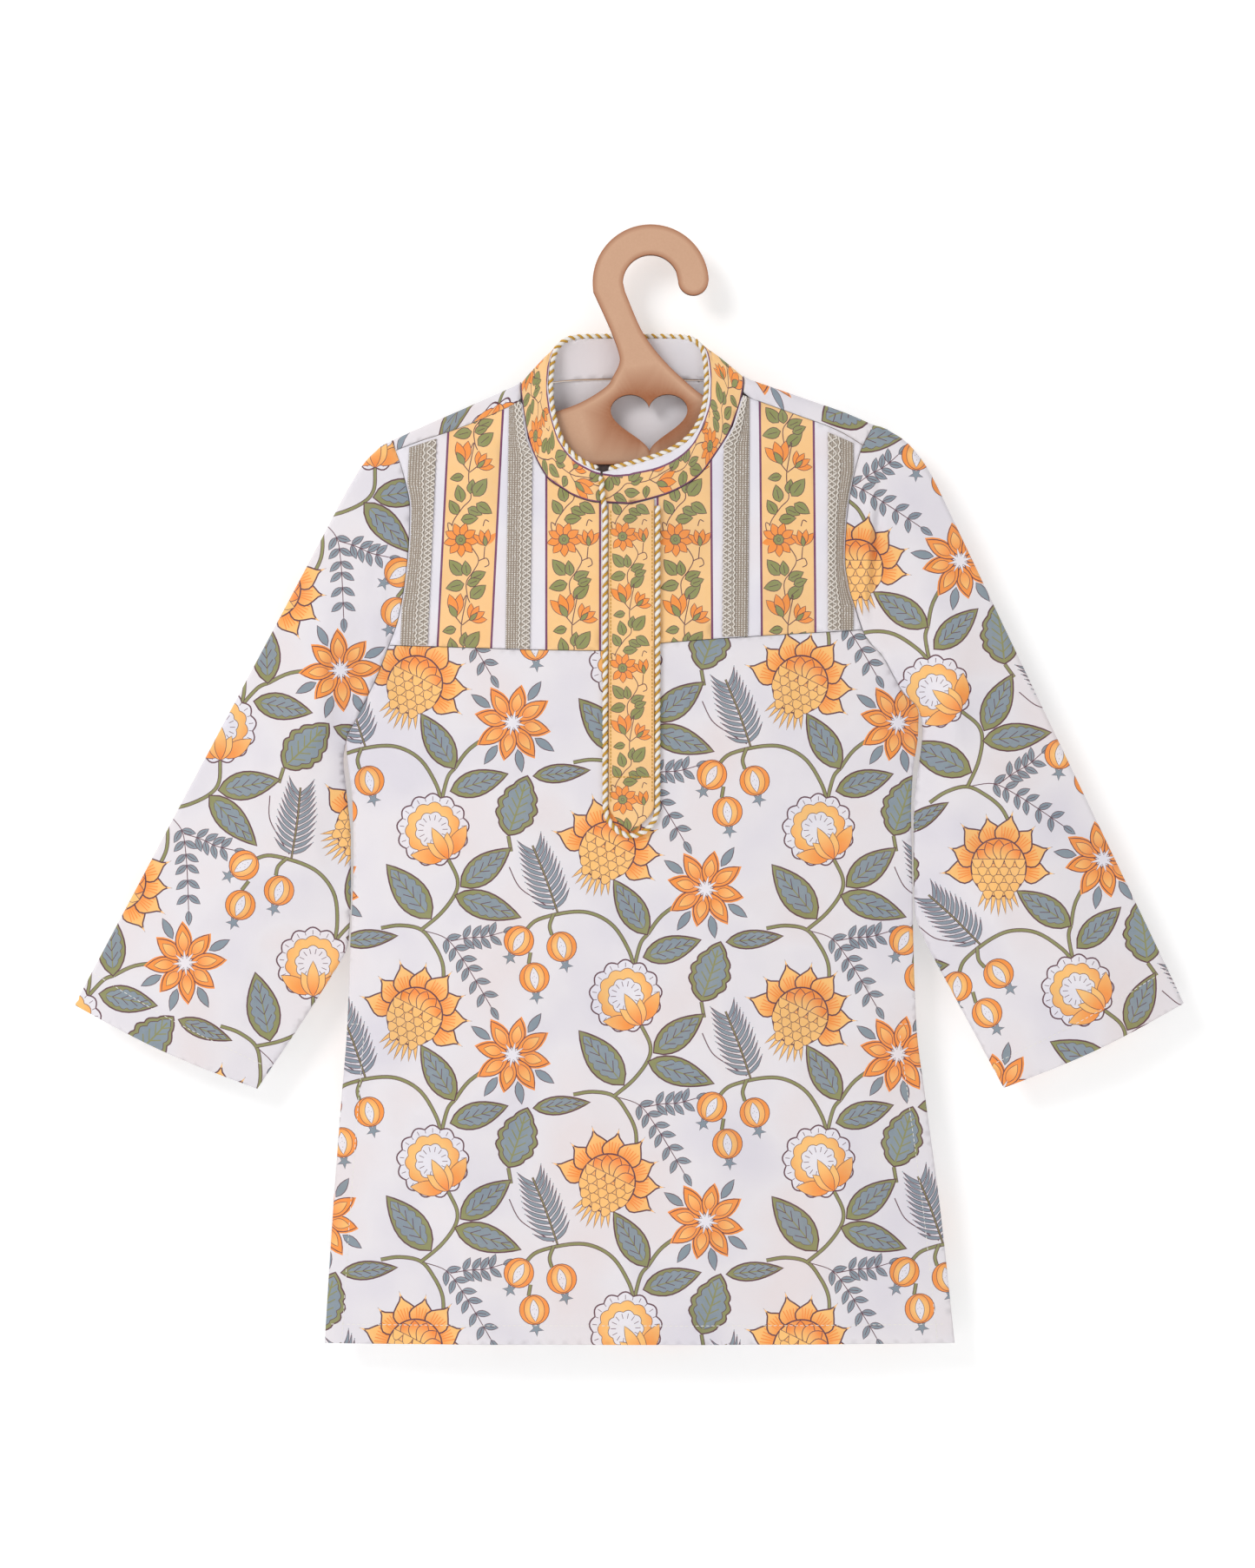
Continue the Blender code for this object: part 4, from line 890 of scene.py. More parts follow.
class VineBorder:
    """The border print: a peach band with a vine of small flowers, between purple lines."""

    WIDTH = 30.0
    REPEAT = 88.0
    LEAVES = (
        (-3, 11, -10.5, 12.5), (0, 22, 1.6, 14), (1.5, 23.5, 8.8, 14), (-4.5, 27, -6.7, 17.5),
        (-6.5, 34, -11.2, 26), (-2, 29.5, 6, 33), (3, 26.5, 11.5, 32), (-6, 36.5, 3.5, 35.5),
        (-4, 69, -11, 60.5), (-1.5, 69.5, -2.6, 61), (-0.5, 71, 8, 67), (-2.5, 73, -12.5, 75.5),
        (-0.5, 82, 8, 75), (2, -14, 9.5, -17),
    )
    STEMS = (
        ((0, -4), (2.4, -8), (-0.5, 7.7), (-0.5, 16), (0.5, 24), (-4, 29), (-9, 36),
         (-10.5, 40.0)),
        ((-10, 39.5), (-12.6, 38), (-12.2, 42.5), (-9.5, 45.5)),
        ((-1, 50), (3, 55), (5, 60), (2, 66), (-2, 72), (-1.5, 80), (0, 84)),
        ((5, 60), (9.5, 58.5), (11, 62), (8.4, 63.6)),
        ((8.6, 52), (8, 58.8)), ((-5, 3), (-0.7, 8.4)), ((5, 5), (-0.2, 9)),
        ((7.6, 40), (8.8, 36.5), (11, 37.5)),
    )

    @classmethod
    def unit(cls) -> Block:
        """Cut one repeat of the vine, which runs down the second axis."""
        block = Block()
        for line in cls.STEMS:
            block.line(line, 0.55, steps=4)
        for x0, y0, x1, y1 in cls.LEAVES:
            leaf = Block()
            long = 1.16 * math.hypot(x1 - x0, y1 - y0)
            leaf.outlined(petal(long, 0.62 * long, 0.06 * long, 0.8, 6), Ink.LEAF, stroke=0.42)
            leaf.line(((0.25 * long, 0.0), (0.72 * long, 0.0)), 0.38)
            block.press(leaf, math.degrees(math.atan2(y1 - y0, x1 - x0)), x0, y0)
        for x, y, turn, size in ((-3.4, 4.2, -122.0, 1.32), (4.4, 6.2, -44.0, 0.95),
                                 (9.0, 51.5, -94.0, 0.95)):
            bud = Block()
            bud.fan((-42.0, 42.0, -14.0, 14.0), petal(10.5 * size, 4.8 * size, 0.0, 1.1, 6), Ink.ORANGE,
                    stroke=0.36)
            bud.outlined(petal(6.5 * size, 3.4 * size, -0.5, 0.9, 6), Ink.LEAF, stroke=0.38)
            block.press(bud, turn, x, y)
        flower = Block()
        flower.fan([40.0 * number for number in range(9)], petal(10.2, 5.4, 1.5, 1.0, 6),
                   Ink.ORANGE, stroke=0.36)
        flower.outlined(scalloped(3.4, 8, 0.12, 3), Ink.LEAF, stroke=0.4)
        flower.outlined(scalloped(1.2, 5, 0.1, 3), Ink.OLIVE, stroke=0.3)
        block.press(flower, 8.0, -5.3, 47.8)
        return block

    @classmethod
    def strip(cls, centre: Callable[[float], float], start: float, end: float, phase: float, width: float,
              scale: float = 1.0, lines: bool = True) -> Block:
        """Print a strip of the border that runs down the second axis.

        Args:
            centre: The place across of the strip's middle at each drop.
            start: The drop where it starts.
            end: The drop where it ends.
            phase: A drop at which a repeat starts.
            width: The width between the purple lines.
            scale: The size of the vine.
            lines: Whether the purple lines are printed.

        Returns:
            The strip's shapes.
        """
        block = Block()
        drops = np.arange(start, end + 4.0, 4.0)
        middle = np.array([centre(drop) for drop in drops])

        def ribbon(inner: float, outer: float, ink: Ink) -> None:
            """Cut a ribbon between two distances from the middle."""
            one = np.column_stack((middle + inner, drops))
            other = np.column_stack((middle + outer, drops))
            block.add(np.vstack((one, other[::-1])), ink)

        half = 0.5 * width
        ribbon(-half, half, Ink.BAND)
        unit = cls.unit()
        count = int((end - start) / (cls.REPEAT * scale)) + 3
        first = math.floor((start - phase) / (cls.REPEAT * scale)) - 1
        vine = Block()
        for number in range(first, first + count + 1):
            drop = phase + number * cls.REPEAT * scale
            vine.press(unit, 0.0, centre(drop + 0.5 * cls.REPEAT * scale), drop, scale)
        for shape in vine.shapes:
            if (np.abs(shape.points[:, 0] - centre(float(shape.points[:, 1].mean()))) < half + 0.3).all():
                block.shapes.append(shape)
        if lines:
            ribbon(-half - 1.1, -half + 0.15, Ink.PURPLE)
            ribbon(half - 0.15, half + 1.1, Ink.PURPLE)
        return block


class Wire:
    """A socket's value in a shader, which can be used in sums."""

    def __init__(self, shader: Finish, socket: bpy.types.NodeSocket) -> None:
        """Hold an output socket."""
        self.shader = shader
        self.socket = socket

    def math(self, operation: str, *others: Wire | float) -> Wire:
        """Add a Math node on this value and others."""
        return self.shader.node("ShaderNodeMath", {"operation": operation}, {
            index: value for index, value in enumerate((self, *others))})

    def __add__(self, other: Wire | float) -> Wire:
        """Sum."""
        return self.math("ADD", other)

    def __sub__(self, other: Wire | float) -> Wire:
        """Difference."""
        return self.math("SUBTRACT", other)

    def __mul__(self, other: Wire | float) -> Wire:
        """Product."""
        return self.math("MULTIPLY", other)

    def __rsub__(self, other: float) -> Wire:
        """Difference from a number."""
        return self.shader.node("ShaderNodeMath", {"operation": "SUBTRACT"}, {0: other, 1: self})

    __radd__ = __add__
    __rmul__ = __mul__


class Finish:
    """One material in the making."""

    def __init__(self, name: str, roughness: float) -> None:
        """Start a material.

        Args:
            name: Its name.
            roughness: Its roughness all over.
        """
        self.material = bpy.data.materials.new(name)
        self.material.use_nodes = True
        self.tree = self.material.node_tree
        self.surface = self.tree.nodes["Principled BSDF"]
        self.surface.inputs["Roughness"].default_value = roughness
        self.surface.inputs["Specular IOR Level"].default_value = 0.25

    def node(self, kind: str, settings: dict[str, object], sockets: dict[int | str, object],
             output: int | str = 0) -> Wire:
        """Add a node.

        Args:
            kind: The node's type.
            settings: Its settings.
            sockets: Values or wires for its inputs.
            output: Which output is wanted.

        Returns:
            That output.
        """
        node = self.tree.nodes.new(kind)
        for key, value in settings.items():
            if key == "stops":
                ramp = node.color_ramp
                for index, (place, colour) in enumerate(value):
                    stop = ramp.elements[index] if index < 2 else ramp.elements.new(place)
                    stop.position, stop.color = place, (*colour, 1.0)
            else:
                setattr(node, key, value)
        for key, value in sockets.items():
            if isinstance(value, Wire):
                self.tree.links.new(value.socket, node.inputs[key])
            else:
                node.inputs[key].default_value = value
        return Wire(self, node.outputs[output])

    def set(self, name: str, value: Wire | float) -> None:
        """Give the surface one of its inputs."""
        if isinstance(value, Wire):
            self.tree.links.new(value.socket, self.surface.inputs[name])
        else:
            self.surface.inputs[name].default_value = value

    def place(self) -> Wire:
        """The place in the piece, in metres."""
        return self.node("ShaderNodeTexCoord", {}, {}, "Object")

    def noise(self, place: Wire, scale: float, detail: float = 3.0) -> Wire:
        """A noise of a scale, in features to the metre."""
        return self.node("ShaderNodeTexNoise", {}, {"Vector": place, "Scale": scale, "Detail": detail}, "Fac")

    def mix(self, share: Wire | float, one: Wire | Colour, other: Wire | Colour, blend: str = "MIX") -> Wire:
        """Mix two colours."""
        values = {"Factor": share}
        for key, value in ((6, one), (7, other)):
            values[key] = value if isinstance(value, Wire) else (*value, 1.0)
        return self.node("ShaderNodeMix", {"data_type": "RGBA", "blend_type": blend}, values, 2)

    def bump(self, height: Wire, distance: float, strength: float, under: Wire | None = None) -> Wire:
        """Turn a height into a normal."""
        sockets = {"Height": height, "Distance": distance, "Strength": strength}
        if under is not None:
            sockets["Normal"] = under
        return self.node("ShaderNodeBump", {}, sockets)


@dataclass(frozen=True)
class CottonFinish:
    """Plain-woven cotton, whose dyes come from the piece's own colour attribute."""

    name: str
    faded: float
    thread: float = 0.00042

    def make(self) -> bpy.types.Material:
        """Build the material.

        Returns:
            The material.
        """
        cloth = Finish(self.name, 0.86)
        place = cloth.place()
        dye = cloth.node("ShaderNodeAttribute", {"attribute_name": PRINT}, {}, "Color")
        parts = cloth.node("ShaderNodeSeparateXYZ", {}, {"Vector": place}, "X")
        down = Wire(cloth, parts.socket.node.outputs["Z"])
        warp = (parts * (math.tau / self.thread)).math("SINE")
        weft = (down * (math.tau / self.thread)).math("SINE")
        weave = warp * weft
        slub = cloth.noise(place, 420.0, 2.0)
        patchy = cloth.noise(place, 90.0, 4.0)
        broad = cloth.noise(place, 16.0, 2.0)
        stops = ((0.3, linear(0xF4F4F9)), (0.5, linear(0xFFFFFF)), (0.7, linear(0xFFF9F6)))
        tint = cloth.node("ShaderNodeValToRGB", {"stops": stops}, {"Fac": broad}, "Color")
        coat = cloth.mix(1.0, dye, tint, "MULTIPLY")
        worn = cloth.mix((patchy * 0.5 + slub * 0.3) * 0.16, coat, linear(0xEFEDEF))
        faded = cloth.mix(self.faded, worn, linear(0xE6E3E6))
        # Painted shade: the colour darkens a little where the weave lies low, between the threads.
        painted_weave_shade = (weave * 0.02 + 0.985).math("MINIMUM", 1.0)
        cloth.set("Base Color", cloth.mix(1.0, faded, cloth.node(
            "ShaderNodeCombineColor", {}, {0: painted_weave_shade, 1: painted_weave_shade, 2: painted_weave_shade}, "Color"), "MULTIPLY"))
        cloth.set("Roughness", patchy * 0.08 + 0.82)
        crumple = cloth.noise(place, 55.0, 4.0)
        soft = cloth.bump(crumple, 0.0014, 0.35)
        cloth.set("Normal", cloth.bump(weave * 0.5 + slub, 0.00012, 0.35, soft))
        cloth.set("Sheen Weight", 0.12)
        cloth.set("Sheen Roughness", 0.6)
        return cloth.material


@dataclass(frozen=True)
class LaceFinish:
    """Woven metallic ribbon, read along and across by the piece's own map."""

    name: str
    long_mm: float = 130.0
    wide_mm: float = 16.0

    def make(self) -> bpy.types.Material:
        """Build the material.

        Returns:
            The material.
        """
        lace = Finish(self.name, 0.42)
        spot = lace.node("ShaderNodeUVMap", {"uv_map": BAKE_MAP}, {}, "UV")
        along = lace.node("ShaderNodeSeparateXYZ", {}, {"Vector": spot}, "X")
        across = Wire(lace, along.socket.node.outputs["Y"])
        beads = (along * (math.tau * self.long_mm / 1.15)).math("SINE") * 0.5 + 0.5
        rows = ((across * (math.tau * self.wide_mm / 1.7)).math("SINE") * 0.5 + 0.5).math("POWER", 1.4)
        net = ((along * (math.tau * self.long_mm / 1.5) + across * 40.0).math("SINE")
               * (along * (math.tau * self.long_mm / 1.5) - across * 40.0).math("SINE")) * 0.5 + 0.5
        ribbed = (0.56 - across).math("GREATER_THAN", 0.0)
        height = (beads * rows) * ribbed + net * 0.4 * (1.0 - ribbed)
        # Painted glints: white specks on the raised rows, mixed into the base colour below.
        speck = lace.noise(lace.place(), 1500.0, 1.0)
        glint = (speck - 0.62).math("GREATER_THAN", 0.0) * rows
        # Painted shade: the base colour is darker where the weave lies low and lighter on the raised beads.
        base = lace.mix(height, linear(0x8E8072), linear(0xF2EAE0))
        lace.set("Base Color", lace.mix(glint * 0.8, base, linear(0xFFFFFF)))
        lace.set("Metallic", height * 0.2 + 0.1)
        lace.set("Roughness", 0.5 - height * 0.15)
        lace.set("Normal", lace.bump(height, 0.0005, 0.7))
        return lace.material


@dataclass(frozen=True)
class ThreadFinish:
    """Spun thread or cord in one colour, with fine fibres."""

    name: str
    tint: int
    dark: int
    metallic: float = 0.0
    roughness: float = 0.6

    def make(self) -> bpy.types.Material:
        """Build the material.

        Returns:
            The material.
        """
        thread = Finish(self.name, self.roughness)
        place = thread.place()
        fibre = thread.noise(place, 2600.0, 2.0)
        dull = thread.noise(place, 300.0, 2.0)
        thread.set("Base Color", thread.mix(fibre * 0.7 + dull * 0.2, linear(self.dark), linear(self.tint)))
        thread.set("Roughness", dull * 0.2 + (self.roughness - 0.1))
        thread.set("Metallic", self.metallic)
        thread.set("Normal", thread.bump(fibre, 0.0002, 0.5))
        return thread.material


@dataclass(frozen=True)
class BoardFinish:
    """Fibreboard, pale and speckled on its faces, or burnt brown where it was cut."""

    name: str
    burnt: bool

    def make(self) -> bpy.types.Material:
        """Build the material.

        Returns:
            The material.
        """
        board = Finish(self.name, 0.72)
        place = board.place()
        fibre = board.noise(place, 900.0, 4.0)
        cloud = board.noise(place, 60.0, 3.0)
        if self.burnt:
            base = board.mix(fibre * 0.5 + cloud * 0.5, linear(0x3B2012), linear(0x7A4622))
        else:
            dye = board.node("ShaderNodeAttribute", {"attribute_name": PRINT}, {}, "Color")
            base = board.mix(fibre * 0.35 + cloud * 0.25, dye, linear(0xB98D70))
        board.set("Base Color", base)
        board.set("Roughness", fibre * 0.15 + 0.65)
        board.set("Normal", board.bump(fibre, 0.0002, 0.4))
        return board.material


@dataclass(frozen=True)
class PlainFinish:
    """The pale floor and backdrop, which can be seen through from behind."""

    name: str

    def make(self) -> bpy.types.Material:
        """Build the material.

        Returns:
            The material.
        """
        wall = Finish(self.name, 0.95)
        wall.set("Base Color", (0.76, 0.76, 0.76, 1.0))
        wall.set("Emission Color", (1.0, 1.0, 1.0, 1.0))
        wall.set("Emission Strength", 0.34)
        wall.set("Specular IOR Level", 0.0)
        behind = wall.node("ShaderNodeNewGeometry", {}, {}, "Backfacing")
        clear = wall.node("ShaderNodeBsdfTransparent", {}, {})
        both = wall.node("ShaderNodeMixShader", {}, {
            0: behind, 1: Wire(wall, wall.surface.outputs[0]), 2: clear})
        output = wall.tree.nodes["Material Output"]
        wall.tree.links.new(both.socket, output.inputs["Surface"])
        return wall.material


def mesh_of(name: str, places: np.ndarray, faces: Sequence[Sequence[int]],
            *materials: bpy.types.Material) -> bpy.types.Mesh:
    """Make a mesh from places in millimetres, its faces and its materials."""
    mesh = bpy.data.meshes.new(name)
    mesh.from_pydata((np.asarray(places) * MM).tolist(), [], faces)
    for material in materials:
        mesh.materials.append(material)
    return mesh


def paint(mesh: bpy.types.Mesh, colours: np.ndarray) -> None:
    """Store a colour for each corner of a mesh's faces."""
    dyes = mesh.color_attributes.new(PRINT, "FLOAT_COLOR", "CORNER")
    dyes.data.foreach_set("color", np.column_stack((colours, np.ones(len(colours)))).ravel())


def link(mesh: bpy.types.Mesh) -> bpy.types.Object:
    """Put a mesh in the scene as a new object of its name, the only one selected."""
    bpy.ops.object.select_all(action="DESELECT")
    piece = bpy.data.objects.new(mesh.name, mesh)
    bpy.context.scene.collection.objects.link(piece)
    piece.select_set(True)
    bpy.context.view_layer.objects.active = piece
    return piece


def edit_all(change: Callable[[], object]) -> None:
    """Run one edit-mode operator on the whole active piece."""
    bpy.ops.object.mode_set(mode="EDIT")
    bpy.ops.mesh.select_all(action="SELECT")
    change()
    bpy.ops.object.mode_set(mode="OBJECT")


def face_outwards() -> None:
    """Turn the active piece's faces outwards."""
    edit_all(lambda: bpy.ops.mesh.normals_make_consistent(inside=False))


def thicken(piece: bpy.types.Object, thickness: float, rim: int = 0) -> None:
    """Give a surface its thickness behind it, the rim in a material so many slots on."""
    wall = piece.modifiers.new("wall", "SOLIDIFY")
    wall.thickness = thickness * MM
    wall.offset = -1.0
    wall.material_offset_rim = rim
    bpy.ops.object.modifier_apply(modifier=wall.name)


def triangulated(points: np.ndarray, edges: Sequence[tuple[int, int]]) -> tuple[np.ndarray, np.ndarray]:
    """Divide flat points into triangles that keep to some edges."""
    made = geometry.delaunay_2d_cdt([Vector(point) for point in points.tolist()], edges, [], 0, 0.005, False)
    return np.array([(p.x, p.y) for p in made[0]]), np.array([face for face in made[2] if len(face) == 3])


def used_only(flat: np.ndarray, faces: np.ndarray) -> tuple[np.ndarray, np.ndarray]:
    """Leave out the points that no triangle uses."""
    used, faces = np.unique(faces, return_inverse=True)
    return flat[used], faces.reshape(-1, 3)


def frames(line: np.ndarray) -> tuple[np.ndarray, np.ndarray]:
    """Two directions square to a line at each point, which turn no more than the line does."""
    side, sides = np.array(FORWARD), []
    run = unit_rows(np.gradient(line, axis=0))
    for way in run:
        side = unit_rows(side - way * np.dot(side, way))
        sides.append(side)
    return np.array(sides), np.cross(run, sides)


def tube(line: np.ndarray, side: np.ndarray, other: np.ndarray, radius: float, sides: int,
         base: int) -> tuple[np.ndarray, list[tuple[int, ...]]]:
    """Make a round tube along a line.

    Args:
        line: The points of its middle.
        side: A direction across it at each point.
        other: The second direction across it at each point.
        radius: Its radius.
        sides: How many sides it has.
        base: The number of its first point.

    Returns:
        Its points, and its faces with both ends closed.
    """
    angle = (math.tau * np.arange(sides) / sides)[:, None]
    rim = np.cos(angle) * side[:, None] + np.sin(angle) * other[:, None]
    faces = []
    for row in range(len(line) - 1):
        start = base + row * sides
        for number in range(sides):
            a, b = start + number, start + (number + 1) % sides
            faces.append((a, b, b + sides, a + sides))
    last = base + (len(line) - 1) * sides
    faces += [tuple(range(base, base + sides))[::-1], tuple(range(last, last + sides))]
    return (line[:, None] + radius * rim).reshape(-1, 3), faces


def dress(piece: bpy.types.Object, slot: str, *nodes: str) -> None:
    """Make a piece ride on the part and stand for its nodes, which are hidden.

    Args:
        piece: The piece.
        slot: The record's material slot, which is not used.
        nodes: The nodes that it stands for.
    """
    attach(piece, "root")
    if nodes:
        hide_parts(*nodes)
    LOG.info("%s: %d faces", piece.name, len(piece.data.polygons))


@dataclass
class ClothCut:
    """A piece of cloth: its flat outline on a patch, and the print on it."""

    name: str
    patch: Patch
    outline: np.ndarray
    block: Block
    ground: Ink = Ink.GROUND
    proud: float = 0.0
    thickness: float = CLOTH
    spacing: float = 3.8
    facing: Point = (0.0, -1.0)
    cut: tuple[float, float] | None = None
    guides: tuple[np.ndarray, ...] = ()

    def divide(self, border: np.ndarray, ring: np.ndarray,
               lines: Sequence[np.ndarray]) -> tuple[np.ndarray, np.ndarray]:
        """Divide the flat cut into triangles along its border, some closed lines and the guides.

        Args:
            border: The border's points.
            ring: The pairs of border points that are joined.
            lines: The closed lines.

        Returns:
            The flat points and the triangles' corners.
        """
        points = [border]
        edges = [(int(a), int(b)) for a, b in ring]
        base = len(border)
        for rows, closed in [(line, True) for line in lines] + [(guide, False) for guide in self.guides]:
            count = len(rows)
            points.append(rows)
            edges.extend((base + i, base + (i + 1) % count) for i in range(count if closed else count - 1))
            base += count
        low, high = self.outline.min(axis=0), self.outline.max(axis=0)
        grid = np.stack(np.meshgrid(np.arange(low[0], high[0], self.spacing),
                                    np.arange(low[1], high[1], self.spacing)), axis=-1).reshape(-1, 2)
        rim = inset(self.outline, 1.0)
        flat, faces = triangulated(np.vstack((*points, grid[inside(grid, rim)], rim[::2])), edges)
        return used_only(flat, faces[inside(flat[faces].mean(axis=1), self.outline)])

    def colours(self, flat: np.ndarray, faces: np.ndarray) -> np.ndarray:
        """Give each triangle's corners the dye of the topmost shape that covers it."""
        middle = flat[faces].mean(axis=1)
        owner = np.full(len(faces), -1)
        order = np.argsort(middle[:, 0])
        lanes = middle[order, 0]
        for number, shape in enumerate(self.block.shapes):
            low, high = shape.points.min(axis=0), shape.points.max(axis=0)
            span = order[np.searchsorted(lanes, low[0]):np.searchsorted(lanes, high[0])]
            span = span[(middle[span, 1] > low[1]) & (middle[span, 1] < high[1])]
            if len(span):
                owner[span[inside(middle[span], shape.points)]] = number
        result = np.tile(np.array(self.ground.value), (len(faces), 3, 1))
        for number in np.unique(owner[owner >= 0]):
            shape = self.block.shapes[number]
            rows = np.nonzero(owner == number)[0]
            result[rows] = shape.ink
            if shape.fade is not None:
                away = np.linalg.norm(flat[faces[rows]] - shape.centre, axis=2)
                start, end = shape.reach
                share = np.clip((away - start) / (end - start), 0.0, 1.0)[..., None]
                result[rows] = np.array(shape.ink) * (1.0 - share) + np.array(shape.fade) * share
        return result

    def build(self, outer: bpy.types.Material, inner: bpy.types.Material) -> bpy.types.Object:
        """Make the piece as a thin closed shell.

        Args:
            outer: The material of the printed face.
            inner: The material of the inside.

        Returns:
            The piece.
        """
        for shape in self.block.shapes:
            shape.points = thinned(shape.points)
        count = len(self.outline)
        ring = np.column_stack((np.arange(count), (np.arange(count) + 1) % count))
        flat, faces = self.divide(self.outline, ring, [shape.points for shape in self.block.shapes])
        colours = self.colours(flat, faces)
        places = self.patch.at(flat, self.proud)
        normals = face_normals(places, faces)
        turn = (normals[:, 1] * self.facing[1] + normals[:, 0] * self.facing[0]).sum() < 0.0
        if turn:
            faces, colours = faces[:, ::-1], colours[:, ::-1]
        rim = open_edges(faces)
        border, ring = np.unique(rim, return_inverse=True)
        wrong, wrong_faces = self.divide(flat[border], ring.reshape(-1, 2), [])
        if turn:
            wrong_faces = wrong_faces[:, ::-1]
        inner_places = self.patch.at(wrong, self.proud)
        inward = np.zeros_like(inner_places)
        for corner in range(3):
            np.add.at(inward, wrong_faces[:, corner], face_normals(inner_places, wrong_faces))
        inner_places -= unit_rows(inward) * self.thickness
        tree = kdtree.KDTree(len(wrong))
        for index, (x, y) in enumerate(wrong):
            tree.insert((x, y, 0.0), index)
        tree.balance()
        partner = {int(point): len(flat) + tree.find((*flat[point], 0.0))[1] for point in border}
        walls = [(b, a, partner[a], partner[b]) for a, b in rim.tolist() if partner[a] != partner[b]]
        hidden = (wrong_faces[:, ::-1] + len(flat)).tolist()
        mesh = mesh_of(self.name, np.vstack((places, inner_places)),
                       faces.tolist() + walls + hidden, outer, inner)
        kinds = np.repeat((0, 1), (len(faces) + len(walls), len(hidden)))
        mesh.polygons.foreach_set("material_index", kinds)
        bare = np.tile(np.array(self.ground.value), (4 * len(walls) + 3 * len(hidden), 1))
        paint(mesh, np.vstack((colours.reshape(-1, 3), bare)))
        corners = np.concatenate([np.array(part).ravel() for part in (faces, walls, hidden)])
        self.lay_out(mesh, np.vstack((flat, wrong))[corners], 3 * len(hidden))
        mesh.polygons.foreach_set("use_smooth", np.ones(len(kinds), bool))
        piece = link(mesh)
        size = self.cut or tuple(float(side) for side in self.outline.max(axis=0) - self.outline.min(axis=0))
        area = size[0] * size[1] if self.cut else abs(area_of(self.outline))
        size[0] * MM
        size[1] * MM
        area * MM * MM
        return piece

    def lay_out(self, mesh: bpy.types.Mesh, flat: np.ndarray, hidden: int) -> None:
        """Lay the piece's own map out by its flat cut, its long way along the first axis.

        Args:
            mesh: The piece's mesh.
            flat: The flat place of each face's corners.
            hidden: How many of the last corners are the inside's, which gets its own part of the map.
        """
        low, high = self.outline.min(axis=0), self.outline.max(axis=0)
        share = (flat - low) / (high - low)
        if high[0] - low[0] < high[1] - low[1]:
            share = share[:, ::-1]
        places = (0.004 + 0.992 * share) * (1.0, 0.66)
        places[-hidden:, 1] = 0.68 + places[-hidden:, 1] * (0.316 / 0.66)
        mesh.uv_layers.new(name=BAKE_MAP).data.foreach_set("uv", places.ravel())


def gridded(rows: Sequence[float], columns: Sequence[object],
            place: Callable[[float, object], tuple[Sequence[float], Sequence[float]]]) -> Patch:
    """Make a patch by asking for the flat point and the place at each row and column.

    Args:
        rows: The rows' values.
        columns: The columns' values.
        place: Gives the flat point and the place of a row and a column.

    Returns:
        The patch.
    """
    both = [[place(row, column) for column in columns] for row in rows]
    return Patch(np.array([[pair[0] for pair in line] for line in both], float),
                 np.array([[pair[1] for pair in line] for line in both], float))


ACROSS_SHARES = np.sin(np.linspace(-0.5 * math.pi, 0.5 * math.pi, 75))


def body_patch(form: BodyForm) -> Patch:
    """The front of the body as a patch, flat points being the place across and the drop."""
    drops = np.concatenate((np.arange(78.0, 232.0, 2.0), np.arange(232.0, HEM_DROP + 4.0, 4.0)))

    def place(drop: float, share: float) -> tuple[Sequence[float], Sequence[float]]:
        """One point of the front."""
        across = share * form.half_width(share, drop)
        return (across, drop), (CENTRE_X + across, -form.half_depth(-1, share, drop), -drop)

    return gridded(drops, ACROSS_SHARES, place)


def back_patch(form: BodyForm) -> Patch:
    """The back, which goes on over the shoulders to their front seams."""
    levels = np.concatenate((np.arange(44.0, 130.0, 1.2), np.arange(130.0, HEM_DROP + 4.0, 4.0)))
    quarter = 0.5 * math.pi * SHOULDER_RADIUS

    def place(level: float, share: float) -> tuple[Sequence[float], Sequence[float]]:
        """One point of the back, of the turn over the shoulder or of the flap before it."""
        ridge = form.ridge(share)
        run = level - (ridge + SHOULDER_RADIUS - quarter)
        if run >= quarter:
            drop, y = level, form.half_depth(1, share, level)
        elif run > -quarter:
            angle = run / SHOULDER_RADIUS
            drop, y = ridge + SHOULDER_RADIUS * (1.0 - math.cos(angle)), SHOULDER_RADIUS * math.sin(angle)
        else:
            drop = ridge + SHOULDER_RADIUS - run - quarter
            y = -form.half_depth(-1, share, drop)
        flat = (share * form.half_width(share, level), level)
        return flat, (CENTRE_X + share * form.half_width(share, drop), y, -drop)

    return gridded(levels, ACROSS_SHARES, place)


